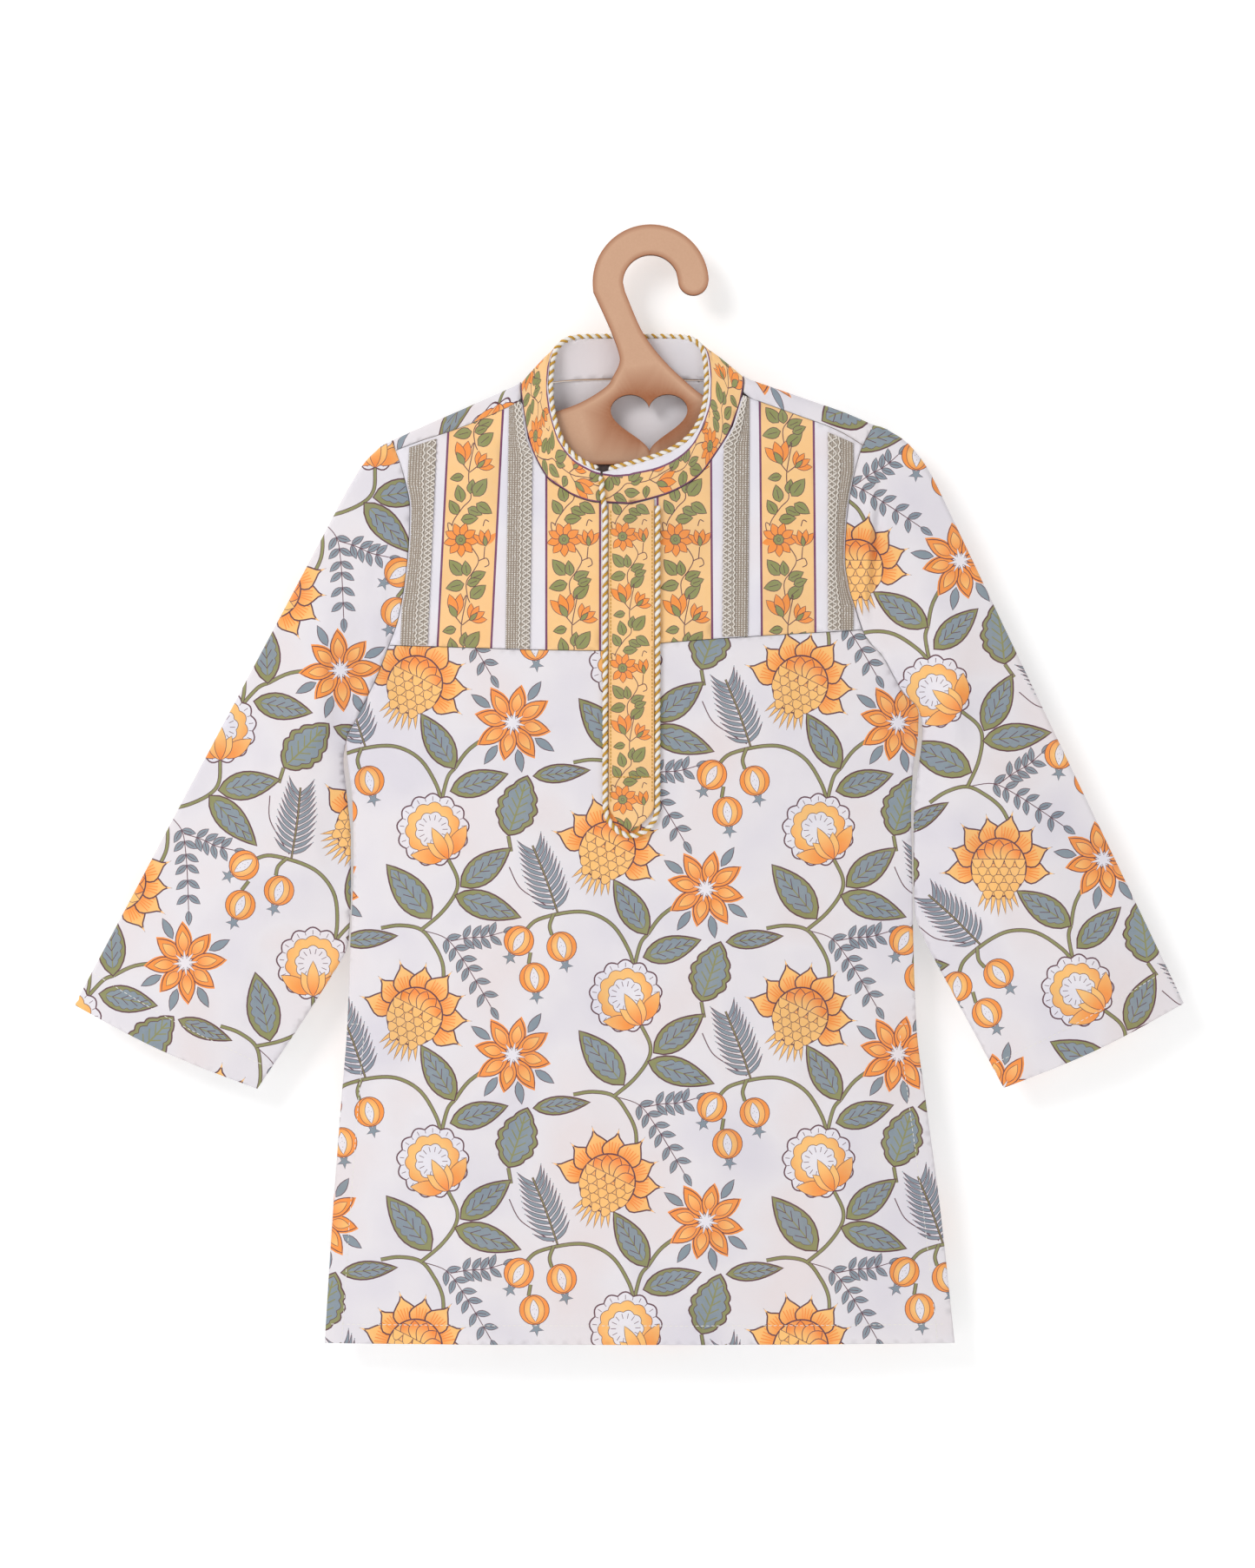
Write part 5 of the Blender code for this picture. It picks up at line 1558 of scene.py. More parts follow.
class SleeveForm:
    """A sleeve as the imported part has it: a flattened tube, cut flat on both sides of its outer fold."""

    TOP = {Side.LEFT: ((138.0, 107.0), (149.0, 112.0), (160.5, 129.0), (241.0, 281.0), (321.5, 433.0)),
           Side.RIGHT: ((139.8, 98.0), (151.5, 101.0), (166.0, 114.0), (174.5, 129.0), (246.5, 280.5),
                        (319.0, 432.0))}
    UNDER = {Side.LEFT: ((163.4, 400.0), (171.5, 414.0), (190.0, 443.0), (216.0, 481.5)),
             Side.RIGHT: ((163.5, 383.0), (171.5, 400.5), (190.0, 434.5), (215.0, 481.0))}
    STANDOFF = ((0, 0.3), (3, 1.2), (8, 2.6), (18, 2.8), (50, 1.4), (90, 0.8))
    CROWN = Curve(((0, 3), (0.35, 4.2), (0.8, 4), (1, 4.4)))
    UNDER_WAIT = Curve(((0, 0), (0.12, 0.012), (0.2, 0.06), (0.3, 0.16), (0.5, 0.42), (1, 1)))
    HEAD_FADE = 0.2
    HEAD_BLEND = 0.3
    CUFF_BOW = 2.5
    CUFF_RADIUS = 2.2
    CUFF_FOLD = 20.0
    FOLDS = ((0.2, 0.45, 0.5, 0.3, 0.1, 1.4), (0.5, 0.7, -0.4, 0.25, 0.09, 1.2),
             (0.78, 0.35, 0.45, 0.25, 0.1, 1.3))
    FOLD_SOFTNESS = 0.03
    PRINT_WIDTH = 130.0
    LENGTH = 370.0

    def __init__(self, side: Side, form: BodyForm) -> None:
        """Set the sleeve's own lines.

        Args:
            side: Which sleeve it is.
            form: The body that it is sewn to.
        """
        self.side = side
        self.form = form
        self.sign = side.value
        self.under_drop = LEFT_UNDERARM if side is Side.LEFT else RIGHT_UNDERARM
        self.top = np.array(self.TOP[side])
        beside = [(form.half_width(self.sign, self.under_drop + below) + standoff, self.under_drop + below)
                  for below, standoff in self.STANDOFF]
        self.under = np.array(beside + list(self.UNDER[side]))
        self.head_drop = float(self.top[0, 1])
        self.grain_way = unit_rows(self.top[-1] - self.top[-2])

    @staticmethod
    def along_line(line: np.ndarray, fraction: float, softness: float) -> np.ndarray:
        """A point of a line with its corners rounded."""
        marks = marks_of(line)
        reach = min(softness, fraction, 1.0 - fraction)
        spots = np.clip(fraction + SPREAD * reach, 0.0, 1.0)
        return read_along(line, marks / marks[-1], spots).mean(axis=0)

    def armhole(self, across: float) -> np.ndarray:
        """The sleeve's head on the armhole seam."""
        drop = self.head_drop + (self.under_drop - self.head_drop) * across
        return np.array((self.form.half_width(self.sign, drop) + SEAM_GAP, drop))

    def cuff(self, across: float) -> np.ndarray:
        """The cuff's edge, which is bowed."""
        start, end = self.top[-1], self.under[-1]
        run = end - start
        outwards = unit_rows(np.array((run[1], -run[0])))
        if outwards[1] < 0.0:
            outwards = -outwards
        return start + run * across + outwards * self.CUFF_BOW * math.sin(math.pi * across)

    def centre(self, across: float, along: float) -> np.ndarray:
        """A point midway between the sleeve's two layers."""
        if along <= 0.0:
            return self.armhole(across)
        top = self.along_line(self.top, along, self.FOLD_SOFTNESS)
        under = self.along_line(self.under, self.UNDER_WAIT.at(along), 0.02)
        head_bow, cuff_bow = (edge(across) - (edge(0.0) * (1.0 - across) + edge(1.0) * across)
                              for edge in (self.armhole, self.cuff))
        point = top * (1.0 - across) + under * across + cuff_bow * along ** 4
        point = point + head_bow * max(1.0 - along / self.HEAD_FADE, 0.0)
        clear = SEAM_GAP + 0.5 * min(along / 0.03, 1.0)
        point[0] = max(point[0], self.form.half_width(self.sign, point[1]) + clear)
        return point

    def depth(self, face: int, across: float, along: float, width: float, centre: np.ndarray) -> float:
        """Half depth of one layer, rounded at both folds."""
        sunk = max(self.armhole(across)[1], self.head_drop + SHOULDER_RADIUS)
        head = self.form.half_depth(face, self.sign, sunk) + BodyForm.SEAM_DIP
        radius = SHOULDER_RADIUS + (self.CUFF_RADIUS - SHOULDER_RADIUS) * math.sqrt(along)
        lens = math.sin(math.pi * across) ** 1.5
        body = radius + (SEAM_HALF_DEPTH - radius) * across + self.CROWN.at(along) * lens
        for fold_along, fold_across, lean, length, fold_width, height in self.FOLDS:
            mirrored = fold_across if face < 0 else 1.0 - fold_across
            run = (along - fold_along) * math.cos(lean) + (across - mirrored) * math.sin(lean)
            aside = (across - mirrored) * math.cos(lean) - (along - fold_along) * math.sin(lean)
            body += height * lens * math.exp(-(run / length) ** 2 - (aside / fold_width) ** 2)
        fold = self.along_line(self.top, along, self.FOLD_SOFTNESS)
        down = float(np.dot(centre - self.top[0], self.grain_way))
        aside = float(np.linalg.norm(centre - fold))
        mirrored_aside = aside if (face < 0) == (self.side is Side.LEFT) else self.PRINT_WIDTH - aside
        body += sum(crease.rise(mirrored_aside, down) for crease in SLEEVE_CREASES) * lens
        full = head + (body - head) * ease(along / self.HEAD_BLEND)
        if face < 0:
            full += sum(tuck.rise(*centre) for tuck in SLEEVE_TUCK[self.sign]) * min(5.0 * lens, 1.0)
        full += 0.3 * lens * ease((along - 1.0 + self.CUFF_FOLD / self.LENGTH) / 0.004)
        full -= BodyForm.SEAM_DIP * math.exp(-(along * 250.0 / BodyForm.SEAM_DIP_WIDTH) ** 2)
        for inwards, turn in ((across * width, radius), ((1.0 - across) * width, SEAM_HALF_DEPTH)):
            if inwards < turn:
                full *= math.sqrt(max(1.0 - (1.0 - inwards / turn) ** 2, 0.0))
        return full

    def beyond_fold(self, point: np.ndarray) -> np.ndarray:
        """Turn a point of the back layer out over the straight part of the outer fold."""
        reach = point - self.top[-1]
        return self.top[-1] + 2.0 * self.grain_way * np.dot(self.grain_way, reach) - reach

    def patch(self) -> Patch:
        """Both layers as one patch, from the under fold behind, over the outer fold, to the one in front."""
        alongs = np.concatenate((np.linspace(0.0, 0.06, 7), np.linspace(0.075, 1.0, 66)))
        half = 0.5 - 0.5 * np.cos(np.linspace(0.0, math.pi, 45))
        columns = [(1, across) for across in half[::-1]] + [(-1, across) for across in half[1:]]

        def place(along: float, column: tuple[int, float]) -> tuple[Sequence[float], Sequence[float]]:
            """One point of the front or back layer."""
            face, across = column
            fold, centre = self.centre(0.0, along), self.centre(across, along)
            width = float(np.linalg.norm(self.centre(1.0, along) - fold))
            spot = centre
            if face > 0:
                spot = self.beyond_fold(centre) + (fold - self.beyond_fold(fold)) * (1.0 - across) ** 2
            y = face * self.depth(face, across, along, width, centre)
            return (self.sign * spot[0], spot[1]), (CENTRE_X + self.sign * centre[0], y, -centre[1])

        return gridded(alongs, columns, place)


def unrolled(patch: Patch) -> tuple[float, float]:
    """Size of a band's flat cut, found by turning it out strip by strip.

    Args:
        patch: The band's patch.

    Returns:
        Its length along the middle and its mean width.
    """
    low, high = patch.places[0], patch.places[-1]
    feet = [np.zeros(2)]
    tops = [np.array((0.0, np.linalg.norm(high[0] - low[0])))]

    def meet(from_foot: float, from_top: float, foot: np.ndarray, top: np.ndarray) -> np.ndarray:
        """The point ahead that lies at two distances from a foot and a top."""
        gap = np.linalg.norm(top - foot)
        along = (from_foot ** 2 - from_top ** 2 + gap ** 2) / (2.0 * gap)
        up = (top - foot) / gap
        aside = math.sqrt(max(from_foot ** 2 - along ** 2, 0.0))
        return foot + up * along + np.array((up[1], -up[0])) * aside

    for index in range(1, len(low)):
        a, b, c, d = low[index - 1], high[index - 1], low[index], high[index]
        foot = meet(np.linalg.norm(c - a), np.linalg.norm(c - b), feet[-1], tops[-1])
        tops.append(meet(np.linalg.norm(d - c), np.linalg.norm(d - b), foot, tops[-1]))
        feet.append(foot)
    middle = 0.5 * (np.array(feet) + np.array(tops))
    long = float(marks_of(middle)[-1])
    return long, abs(area_of(np.vstack((feet, tops[::-1])))) / long


def border_of(grid: np.ndarray) -> np.ndarray:
    """The flat outline of a grid of flat points."""
    return np.vstack((grid[0], grid[1:, -1], grid[-1, -2::-1], grid[-2:0:-1, 0]))


class CollarForm:
    """The stand collar between its foot on the neckline and its top under the cord."""

    OVERLAP_X = -16.5
    TOP_ROWS = (
        (-17.8, 124.7, -11.7), (-26, 122, -11.4), (-36, 115.5, -10.6), (-41.5, 107, -9.8),
        (-44.5, 96.5, -8.8), (-48, 80, -7.2), (-48, 66, -5), (-46, 55, -1.8),
        (-41.5, 48, 2.5), (-37, 46.6, 6), (-30, 46.2, 8.8), (-16, 46, 11), (0, 46, 11.8), (16, 46, 11),
        (29, 46.2, 8.8), (36, 46.6, 6), (40.5, 48, 2.5), (43, 56, -1.8), (44.5, 67, -5),
        (44.5, 81, -7.2), (39.7, 100, -9.4), (30, 110, -10.6), (15, 117, -11.6),
        (0.0, 121.0, -12.0), (-16.5, 125.2, -12.2))
    CORNERS = (8, 12, 16)
    SOFTNESS = 9.0

    def __init__(self, form: BodyForm) -> None:
        """Work out the foot and the top of the band."""
        self.form = form
        self.top_line = np.array([(CENTRE_X + x, y, -drop) for x, drop, y in self.TOP_ROWS])
        self.feet, self.tops = self.lines()

    def foot_quarter(self, sign: int, back: bool) -> np.ndarray:
        """The neck edge on one side, from the shoulder's ridge to the front or back centre."""
        form, share = self.form, sign * NECK_SHARE
        ridge, face = form.ridge(share), 1 if back else -1
        points = []
        for angle in np.linspace(0.0, 0.5 * math.pi, 6):
            drop = ridge + SHOULDER_RADIUS * (1.0 - math.cos(angle))
            y = face * SHOULDER_RADIUS * math.sin(angle)
            points.append((CENTRE_X + share * form.half_width(share, drop), y, -drop))
        if back:
            rows = [(sign * reach, form.back_neck(sign * reach)) for reach in np.linspace(0.44, 0.0, 14)]
        else:
            end = -self.OVERLAP_X / form.half_width(-1, 144.0) if sign < 0 else 0.0
            rows = [(sign * reach, form.neckline(sign * reach))
                    for reach in np.linspace(0.455, end + (0.01 if sign < 0 else 0.0), 20)]
            if sign > 0:
                rows += [(-reach, form.neckline(-reach)) for reach in np.linspace(0.03, 0.125, 4)]
        for spot, drop in rows:
            y = face * form.half_depth(face, spot, drop)
            points.append((CENTRE_X + spot * form.half_width(spot, drop), y, -drop))
        return np.array(points)

    def lines(self) -> tuple[np.ndarray, np.ndarray]:
        """Matching points of the foot and the top, from the front opening all the way round."""
        quarters = (self.foot_quarter(-1, False)[::-1], self.foot_quarter(-1, True),
                    self.foot_quarter(1, True)[::-1], self.foot_quarter(1, False))
        marks = marks_of(self.top_line)
        bounds = [marks[0], *(marks[corner] for corner in self.CORNERS), marks[-1]]
        feet, tops = [], []
        for number, quarter in enumerate(quarters):
            steps = marks_of(quarter)
            for index in range(1 if number else 0, len(quarter)):
                mark = bounds[number] + (bounds[number + 1] - bounds[number]) * steps[index] / steps[-1]
                reach = min(self.SOFTNESS, mark, marks[-1] - mark)
                tops.append(read_along(self.top_line, marks, mark + SPREAD * reach).mean(axis=0))
                feet.append(quarter[index])
        return np.array(feet), np.array(tops)

    def outward(self) -> np.ndarray:
        """The band's outward direction at each column, smoothed."""
        along = np.gradient(0.4 * self.feet + 0.6 * self.tops, axis=0)
        normal = unit_rows(np.cross(along, self.tops - self.feet))
        centre = self.feet - (CENTRE_X, 0.0, 0.0)
        normal[(normal[:, :2] * centre[:, :2]).sum(axis=1) < 0.0] *= -1.0
        kernel = np.array((1.0, 2.0, 3.0, 4.0, 3.0, 2.0, 1.0))[:, None]
        padded = np.pad(normal, ((3, 3), (0, 0)), mode="edge")
        return unit_rows(np.array([(padded[i:i + 7] * kernel).sum(axis=0) for i in range(len(normal))]))

    def patch(self, start: float, short: float, depth: float) -> Patch:
        """The band as a patch, flat points being the way round the foot and the height.

        Args:
            start: How far above the foot it starts.
            short: How far below the top it ends.
            depth: How far inside the outer band it lies.

        Returns:
            The patch.
        """
        round_foot = marks_of(self.feet)
        tall = np.linalg.norm(self.tops - self.feet, axis=1)
        run = (self.tops - self.feet) / tall[:, None]
        outward = self.outward()
        rows = 12
        flat = np.zeros((rows + 1, len(self.feet), 2))
        places = np.zeros((rows + 1, len(self.feet), 3))
        for row in range(rows + 1):
            height = start + (tall - short - start) * row / rows
            swell = 0.5 * math.sin(math.pi * row / rows)
            places[row] = self.feet + run * height[:, None] - outward * (depth - swell)
            flat[row] = np.column_stack((round_foot, height))
        return Patch(flat, places)


@dataclass
class Cord:
    """A twisted cord of a white and a gold strand along a line."""

    name: str
    path: np.ndarray
    nodes: tuple[str, ...]
    radius: float = 1.75
    pitch: float = 5.4
    steps: int = 9
    sides: int = 7
    WHITE_SHARE: ClassVar[float] = 0.66
    GOLD_SHARE: ClassVar[float] = 0.4

    def build(self, pale: bpy.types.Material, gold: bpy.types.Material) -> None:
        """Make the two strands as one piece.

        Args:
            pale: The white strand's material.
            gold: The gold strand's material.
        """
        marks = marks_of(self.path)
        spots = np.linspace(0.0, marks[-1], int(marks[-1] / self.pitch * self.steps))
        line = smooth_rows(read_along(self.path, marks, spots), 4)
        side, other = frames(line)
        points, faces, kinds = [], [], []
        for kind, (phase, thick) in enumerate(((0.0, self.WHITE_SHARE), (math.pi, self.GOLD_SHARE))):
            angle = (math.tau * spots / self.pitch + phase)[:, None]
            offset = self.radius * (1.0 - thick)
            centres = line + offset * (np.cos(angle) * side + np.sin(angle) * other)
            strand = tube(centres, *frames(centres), self.radius * thick, self.sides, sum(map(len, points)))
            points.append(strand[0])
            faces += strand[1]
            kinds += [kind] * len(strand[1])
        mesh = mesh_of(self.name, np.vstack(points), faces, pale, gold)
        mesh.polygons.foreach_set("material_index", kinds)
        piece = link(mesh)
        bpy.ops.object.shade_smooth()
        face_outwards()
        dress(piece, "twisted_cord", *self.nodes)


def smooth_rows(line: np.ndarray, rounds: int) -> np.ndarray:
    """Soften a line's corners, its ends staying where they are."""
    result = line.copy()
    for _ in range(rounds):
        result[1:-1] = 0.25 * result[:-2] + 0.5 * result[1:-1] + 0.25 * result[2:]
    return result


@dataclass
class Stitching:
    """Rows of short stitches laid along lines of a patch."""

    name: str
    long: float = 2.1
    gap: float = 0.9
    wide: float = 0.34

    def build(self, rows: Sequence[tuple[Patch, np.ndarray]], thread: bpy.types.Material, slot: str) -> None:
        """Make all the stitches as one piece.

        Args:
            rows: Each line's patch and its flat points.
            thread: The thread's material.
            slot: The record's material slot.
        """
        points, faces = [], []
        for patch, line in rows:
            marks = marks_of(line)
            starts = np.arange(0.5 * self.gap, marks[-1] - self.long, self.long + self.gap)
            ends = (starts[:, None] + np.array((0.0, 0.25, 0.75, 1.0)) * self.long).ravel()
            spots = patch.at(read_along(line, marks, ends))
            for index in range(len(starts)):
                group = spots[4 * index:4 * index + 4]
                out = np.array((0.0, math.copysign(1.0, group[1][1]), 0.0))
                aside = unit_rows(np.cross(group[3] - group[0], out))
                base = len(points)
                for step, lift in enumerate((-0.1, 0.2, 0.2, -0.1)):
                    for way in (-0.5, 0.5):
                        points.append(group[step] + aside * way * self.wide + out * lift)
                        points.append(group[step] + aside * way * self.wide + out * (lift - 0.12))
                for step in range(3):
                    a = base + 4 * step
                    b = a + 4
                    faces += [(a, a + 2, b + 2, b), (a + 1, b + 1, b + 3, a + 3), (a, b, b + 1, a + 1),
                              (a + 2, a + 3, b + 3, b + 2)]
                end = base + 12
                faces += [(base, base + 1, base + 3, base + 2), (end, end + 2, end + 3, end + 1)]
        piece = link(mesh_of(self.name, points, faces, thread))
        face_outwards()
        dress(piece, slot)


@dataclass
class Cloth:
    """The materials that the kurta's pieces share."""

    face: bpy.types.Material
    inside: bpy.types.Material
    white_thread: bpy.types.Material
    gold_thread: bpy.types.Material
    lace: bpy.types.Material
    lace_thread: bpy.types.Material


class Kurta:
    """The garment: its panels, sleeves, collar, placket and trims."""

    def __init__(self, cloth: Cloth) -> None:
        """Make the forms that the pieces lie on."""
        self.cloth = cloth
        self.form = BodyForm()
        self.front = body_patch(self.form)
        self.back = back_patch(self.form)
        self.collar = CollarForm(self.form)

    def side_line(self, sign: int, start: float, end: float, step: float = 3.0) -> np.ndarray:
        """Points of one side of the body between two drops."""
        count = max(int(abs(end - start) / step), 2)
        return np.array([(sign * self.form.half_width(sign, drop), drop)
                         for drop in np.linspace(start, end, count)])

    def share_line(self, reader: Callable[[float], float], start: float, end: float,
                   count: int) -> np.ndarray:
        """Points of a line across the body that is given by its drop at each share."""
        shares = np.linspace(start, end, count)
        return np.array([(s * self.form.half_width(s, reader(s)), reader(s)) for s in shares])

    def front_outline(self) -> np.ndarray:
        """The front's flat outline below the yoke."""
        top = self.share_line(lambda share: self.form.YOKE_SEAM.at(share) + SEAM_HALF_GAP, -1.0, 1.0, 90)
        right = self.side_line(1, top[-1, 1], HEM_DROP)[1:]
        hem = self.share_line(lambda share: HEM_DROP, 1.0, -1.0, 90)[1:]
        left = self.side_line(-1, HEM_DROP, top[0, 1])[1:-1]
        return np.vstack((top, right, hem, left))

    def yoke_outline(self, sign: int) -> np.ndarray:
        """One half of the yoke's flat outline."""
        form = self.form
        neck = self.share_line(lambda share: form.neckline(share) + SEAM_HALF_GAP,
                               0.0015 * sign, 0.455 * sign, 40)
        shoulder = self.share_line(lambda share: form.forward_seam(share) + SEAM_HALF_GAP,
                                   0.463 * sign, 1.0 * sign, 26)
        seam_drop = form.YOKE_SEAM.at(sign) - SEAM_HALF_GAP
        side = self.side_line(sign, shoulder[-1, 1], seam_drop)[1:-1]
        seam = self.share_line(lambda share: form.YOKE_SEAM.at(share) - SEAM_HALF_GAP,
                               1.0 * sign, 0.0015 * sign, 44)
        return np.vstack((neck, shoulder, side, seam))

    def back_outline(self) -> np.ndarray:
        """The back's flat outline, with its two flaps over the shoulders and the neck between them."""
        form = self.form

        def flap_top(share: float) -> float:
            """The flat level of the front shoulder seam."""
            turn = 2.0 * form.ridge(share) + (2.0 - math.pi) * SHOULDER_RADIUS
            return turn - form.forward_seam(share) + SEAM_HALF_GAP

        left_top = self.share_line(flap_top, -1.0, -NECK_SHARE, 26)
        right_top = self.share_line(flap_top, NECK_SHARE, 1.0, 26)
        neck = self.share_line(form.back_neck, -NECK_SHARE, NECK_SHARE, 50)
        right = self.side_line(1, right_top[-1, 1], HEM_DROP)[1:]
        hem = self.share_line(lambda share: HEM_DROP, 1.0, -1.0, 90)[1:]
        left = self.side_line(-1, HEM_DROP, left_top[0, 1])[1:-1]
        return np.vstack((left_top, neck, right_top, right, hem, left))

    def build_front(self) -> None:
        """Make the front below the yoke."""
        outline = self.front_outline()
        block = FloralLattice.over(outline, 0.0, FloralLattice.ORIGIN)
        piece = ClothCut("front_cloth", self.front, outline, block).build(self.cloth.face, self.cloth.inside)
        dress(piece, "printed_cotton", "front_panel")

    def build_back(self) -> None:
        """Make the back, over both shoulders to their front seams."""
        outline = self.back_outline()
        block = FloralLattice.over(outline, 0.0, (-92.0, 300.0))
        guides = []
        for sign in (-1, 1):
            for run in np.linspace(-5.6, 6.2, 9):
                shares = np.linspace(0.475, 0.995, 30) * sign
                turn = SHOULDER_RADIUS * (1.0 - 0.5 * math.pi) + run
                guides.append(self.share_line(lambda share, by=turn: self.form.ridge(share) + by,
                                              shares[0], shares[-1], 30))
        cut = ClothCut("back_cloth", self.back, outline, block, facing=(0.0, 1.0), guides=tuple(guides))
        dress(cut.build(self.cloth.face, self.cloth.inside), "printed_cotton", "back_panel")

    def build_yoke(self, side: Side) -> None:
        """Make one half of the front yoke.

        Args:
            side: Which half.
        """
        sign = side.value
        outline = self.yoke_outline(sign)
        if side is Side.LEFT:
            bands = (((-90.5, 111.0), (-96.0, 223.0)), ((-33.5, 140.0), (-33.5, 226.0)))
        else:
            bands = (((30.5, 140.0), (31.0, 222.0)), ((89.5, 92.5), (90.5, 217.0)))
        block = Block()
        for (x0, drop0), (x1, drop1) in bands:
            slope = (x1 - x0) / (drop1 - drop0)
            strip = VineBorder.strip(lambda drop, x=x0, d=drop0, k=slope: x + k * (drop - d),
                                     drop0 - 60.0, drop1 + 10.0, 29.0, VineBorder.WIDTH)
            block.shapes += strip.shapes
        name = f"yoke_{side.name.lower()}"
        cut = ClothCut(name + "_cloth", self.front, outline, block, ground=Ink.WHITE)
        dress(cut.build(self.cloth.face, self.cloth.inside), "border_cotton", name)

    def build_sleeve(self, side: Side) -> Patch:
        """Make one sleeve.

        Args:
            side: Which sleeve.

        Returns:
            The sleeve's patch.
        """
        form = SleeveForm(side, self.form)
        patch = form.patch()
        outline = border_of(patch.flat)
        way = form.grain_way
        grain = math.degrees(math.atan2(way[0] * side.value, way[1])) * -1.0
        origin = (-270.0, 320.5) if side is Side.LEFT else (193.5, 307.0)
        block = FloralLattice.over(outline, grain, origin)
        name = f"sleeve_{side.name.lower()}"
        fold = patch.flat.shape[1] // 2
        guides = [patch.flat[1:-1:2, fold + step] for step in range(-6, 7)]
        for offset in np.arange(-5.0, 14.0, 1.3):
            if side is Side.RIGHT:
                guides.append(np.array([(132.0 + offset + 0.07 * (drop - 140.0), drop)
                                        for drop in np.arange(140.0, 206.0, 3.0)]))
        cut = ClothCut(name + "_cloth", patch, outline, block, spacing=3.4, facing=(float(side.value), -0.2),
                       guides=tuple(guides))
        dress(cut.build(self.cloth.face, self.cloth.inside), "printed_cotton", name)
        return patch

    def build_collar(self) -> None:
        """Make the collar's outer and inner bands."""
        outer = self.collar.patch(0.35, 1.0, 0.0)
        outline = border_of(outer.flat)
        long = float(outline[:, 0].max())
        heights = Curve(tuple(zip(outer.flat[-1, ::3, 0], outer.flat[-1, ::3, 1])))
        white = Curve(((0.0, 1.6), (0.55 * long, 1.6), (0.78 * long, 2.2), (0.9 * long, 6.0), (long, 3.4)))
        block = Block()
        strip = VineBorder.strip(lambda drop: 11.5, 0.0, long, 12.0, 28.0, 0.9, False)
        for shape in strip.shapes:
            shape.points = shape.points[:, ::-1].copy()
            shape.centre = (shape.centre[1], shape.centre[0])
            block.shapes.append(shape)
        marks = np.arange(-2.0, long + 6.0, 4.0)
        edge = np.array([heights.at(mark) - white.at(mark) for mark in marks])
        for low, high, ink in ((edge, edge + 40.0, Ink.WHITE), (edge - 0.6, edge + 0.5, Ink.PURPLE)):
            block.add(np.vstack((np.column_stack((marks, low)), np.column_stack((marks, high))[::-1])), ink)
        foot = np.column_stack((marks, np.full(len(marks), 0.2)))
        block.add(np.vstack((foot, (foot + (0.0, 1.0))[::-1])), Ink.PURPLE)
        cut = ClothCut("collar_cloth", outer, outline, block, ground=Ink.BAND, thickness=0.8, spacing=3.0,
                       cut=unrolled(outer))
        dress(cut.build(self.cloth.face, self.cloth.inside), "border_cotton", "collar")
        inner = self.collar.patch(0.8, 1.4, 1.75)
        outline = border_of(inner.flat)
        block = FloralLattice.over(outline, 90.0, (30.0, 14.0))
        cut = ClothCut("collar_lining_cloth", inner, outline, block, thickness=0.5, spacing=3.5,
                       cut=unrolled(inner))
        dress(cut.build(self.cloth.face, self.cloth.face), "printed_cotton", "collar_lining")

    @staticmethod
    def placket_half_width(drop: float) -> float:
        """Half width of the placket, which narrows to a rounded tip."""
        if drop <= 318.0:
            return 13.2
        return 13.2 * max(1.0 - ((drop - 318.0) / 15.0) ** 1.6, 0.0)

    def build_placket(self) -> None:
        """Make the placket with its border print."""
        top = self.form.neckline(0.0) + 0.4
        tip = 318.0 + 15.0 * np.linspace(0.02, 0.995, 24) ** 0.8
        drops = np.concatenate((np.linspace(top, 318.0, 60), tip))
        right = np.array([(self.placket_half_width(drop), drop) for drop in drops])
        brow = np.array([(across, self.form.neckline(across / 127.0) + 0.3)
                         for across in np.linspace(-13.2, 13.2, 12)])
        right, left = (right[right[:, 1] > end + 0.5] for end in (brow[-1, 1], brow[0, 1]))
        outline = np.vstack((brow, right, (left * (-1.0, 1.0))[::-1]))
        block = VineBorder.strip(lambda drop: -0.5, top - 20.0, 340.0, 122.0, 25.0, 0.86, False)
        cut = ClothCut("placket_cloth", self.front, outline, block, ground=Ink.BAND, proud=1.2, thickness=0.9,
                       spacing=3.0)
        dress(cut.build(self.cloth.face, self.cloth.inside), "border_cotton", "placket")

    def build_lace(self, number: int, side: Side, edge_top: float, edge_bottom: float, width: float) -> None:
        """Make one strip of woven lace with its looped edge.

        Args:
            number: The strip's number from the viewer's left.
            side: The side of the yoke that it lies on.
            edge_top: How far its inner edge is from the centre line at the top.
            edge_bottom: The same at the bottom.
            width: Its width.
        """
        form, sign = self.form, side.value
        middle = sign * (edge_top + 0.5 * width) / form.half_width(sign, 120.0)
        start, end = form.forward_seam(middle) + 0.5, form.YOKE_SEAM.at(middle) - 0.3
        drops = [(form.neckline(sign * share), share) for share in np.linspace(0.3, 0.455, 14)]
        neck = sorted((drop, share * form.half_width(sign, drop)) for drop, share in drops)
        rows, columns = int((end - start) / 0.55), 9
        flat = []
        for row in range(rows + 1):
            drop = start + (end - start) * row / rows
            inner = edge_top + (edge_bottom - edge_top) * row / rows
            outer = min(inner + width, form.half_width(sign, drop) - 0.7)
            if drop < neck[-1][0]:
                inner = max(inner, float(np.interp(drop, *zip(*neck))) + 0.9)
            inner += 0.5 * abs(math.sin(math.pi * drop / 3.3))
            width_here = form.half_width(sign, drop)
            tilt = form.forward_seam(sign * outer / width_here) - form.forward_seam(sign * inner / width_here)
            for column in range(columns):
                across = outer + (inner - outer) * column / 8.0
                lean = tilt * (0.5 - column / 8.0) * max(1.0 - row / 24.0, 0.0)
                flat.append((sign * across, drop + lean))
        flat = np.array(flat)
        faces, chart = [], []
        for row, column in np.ndindex(rows, columns - 1):
            a = row * columns + column
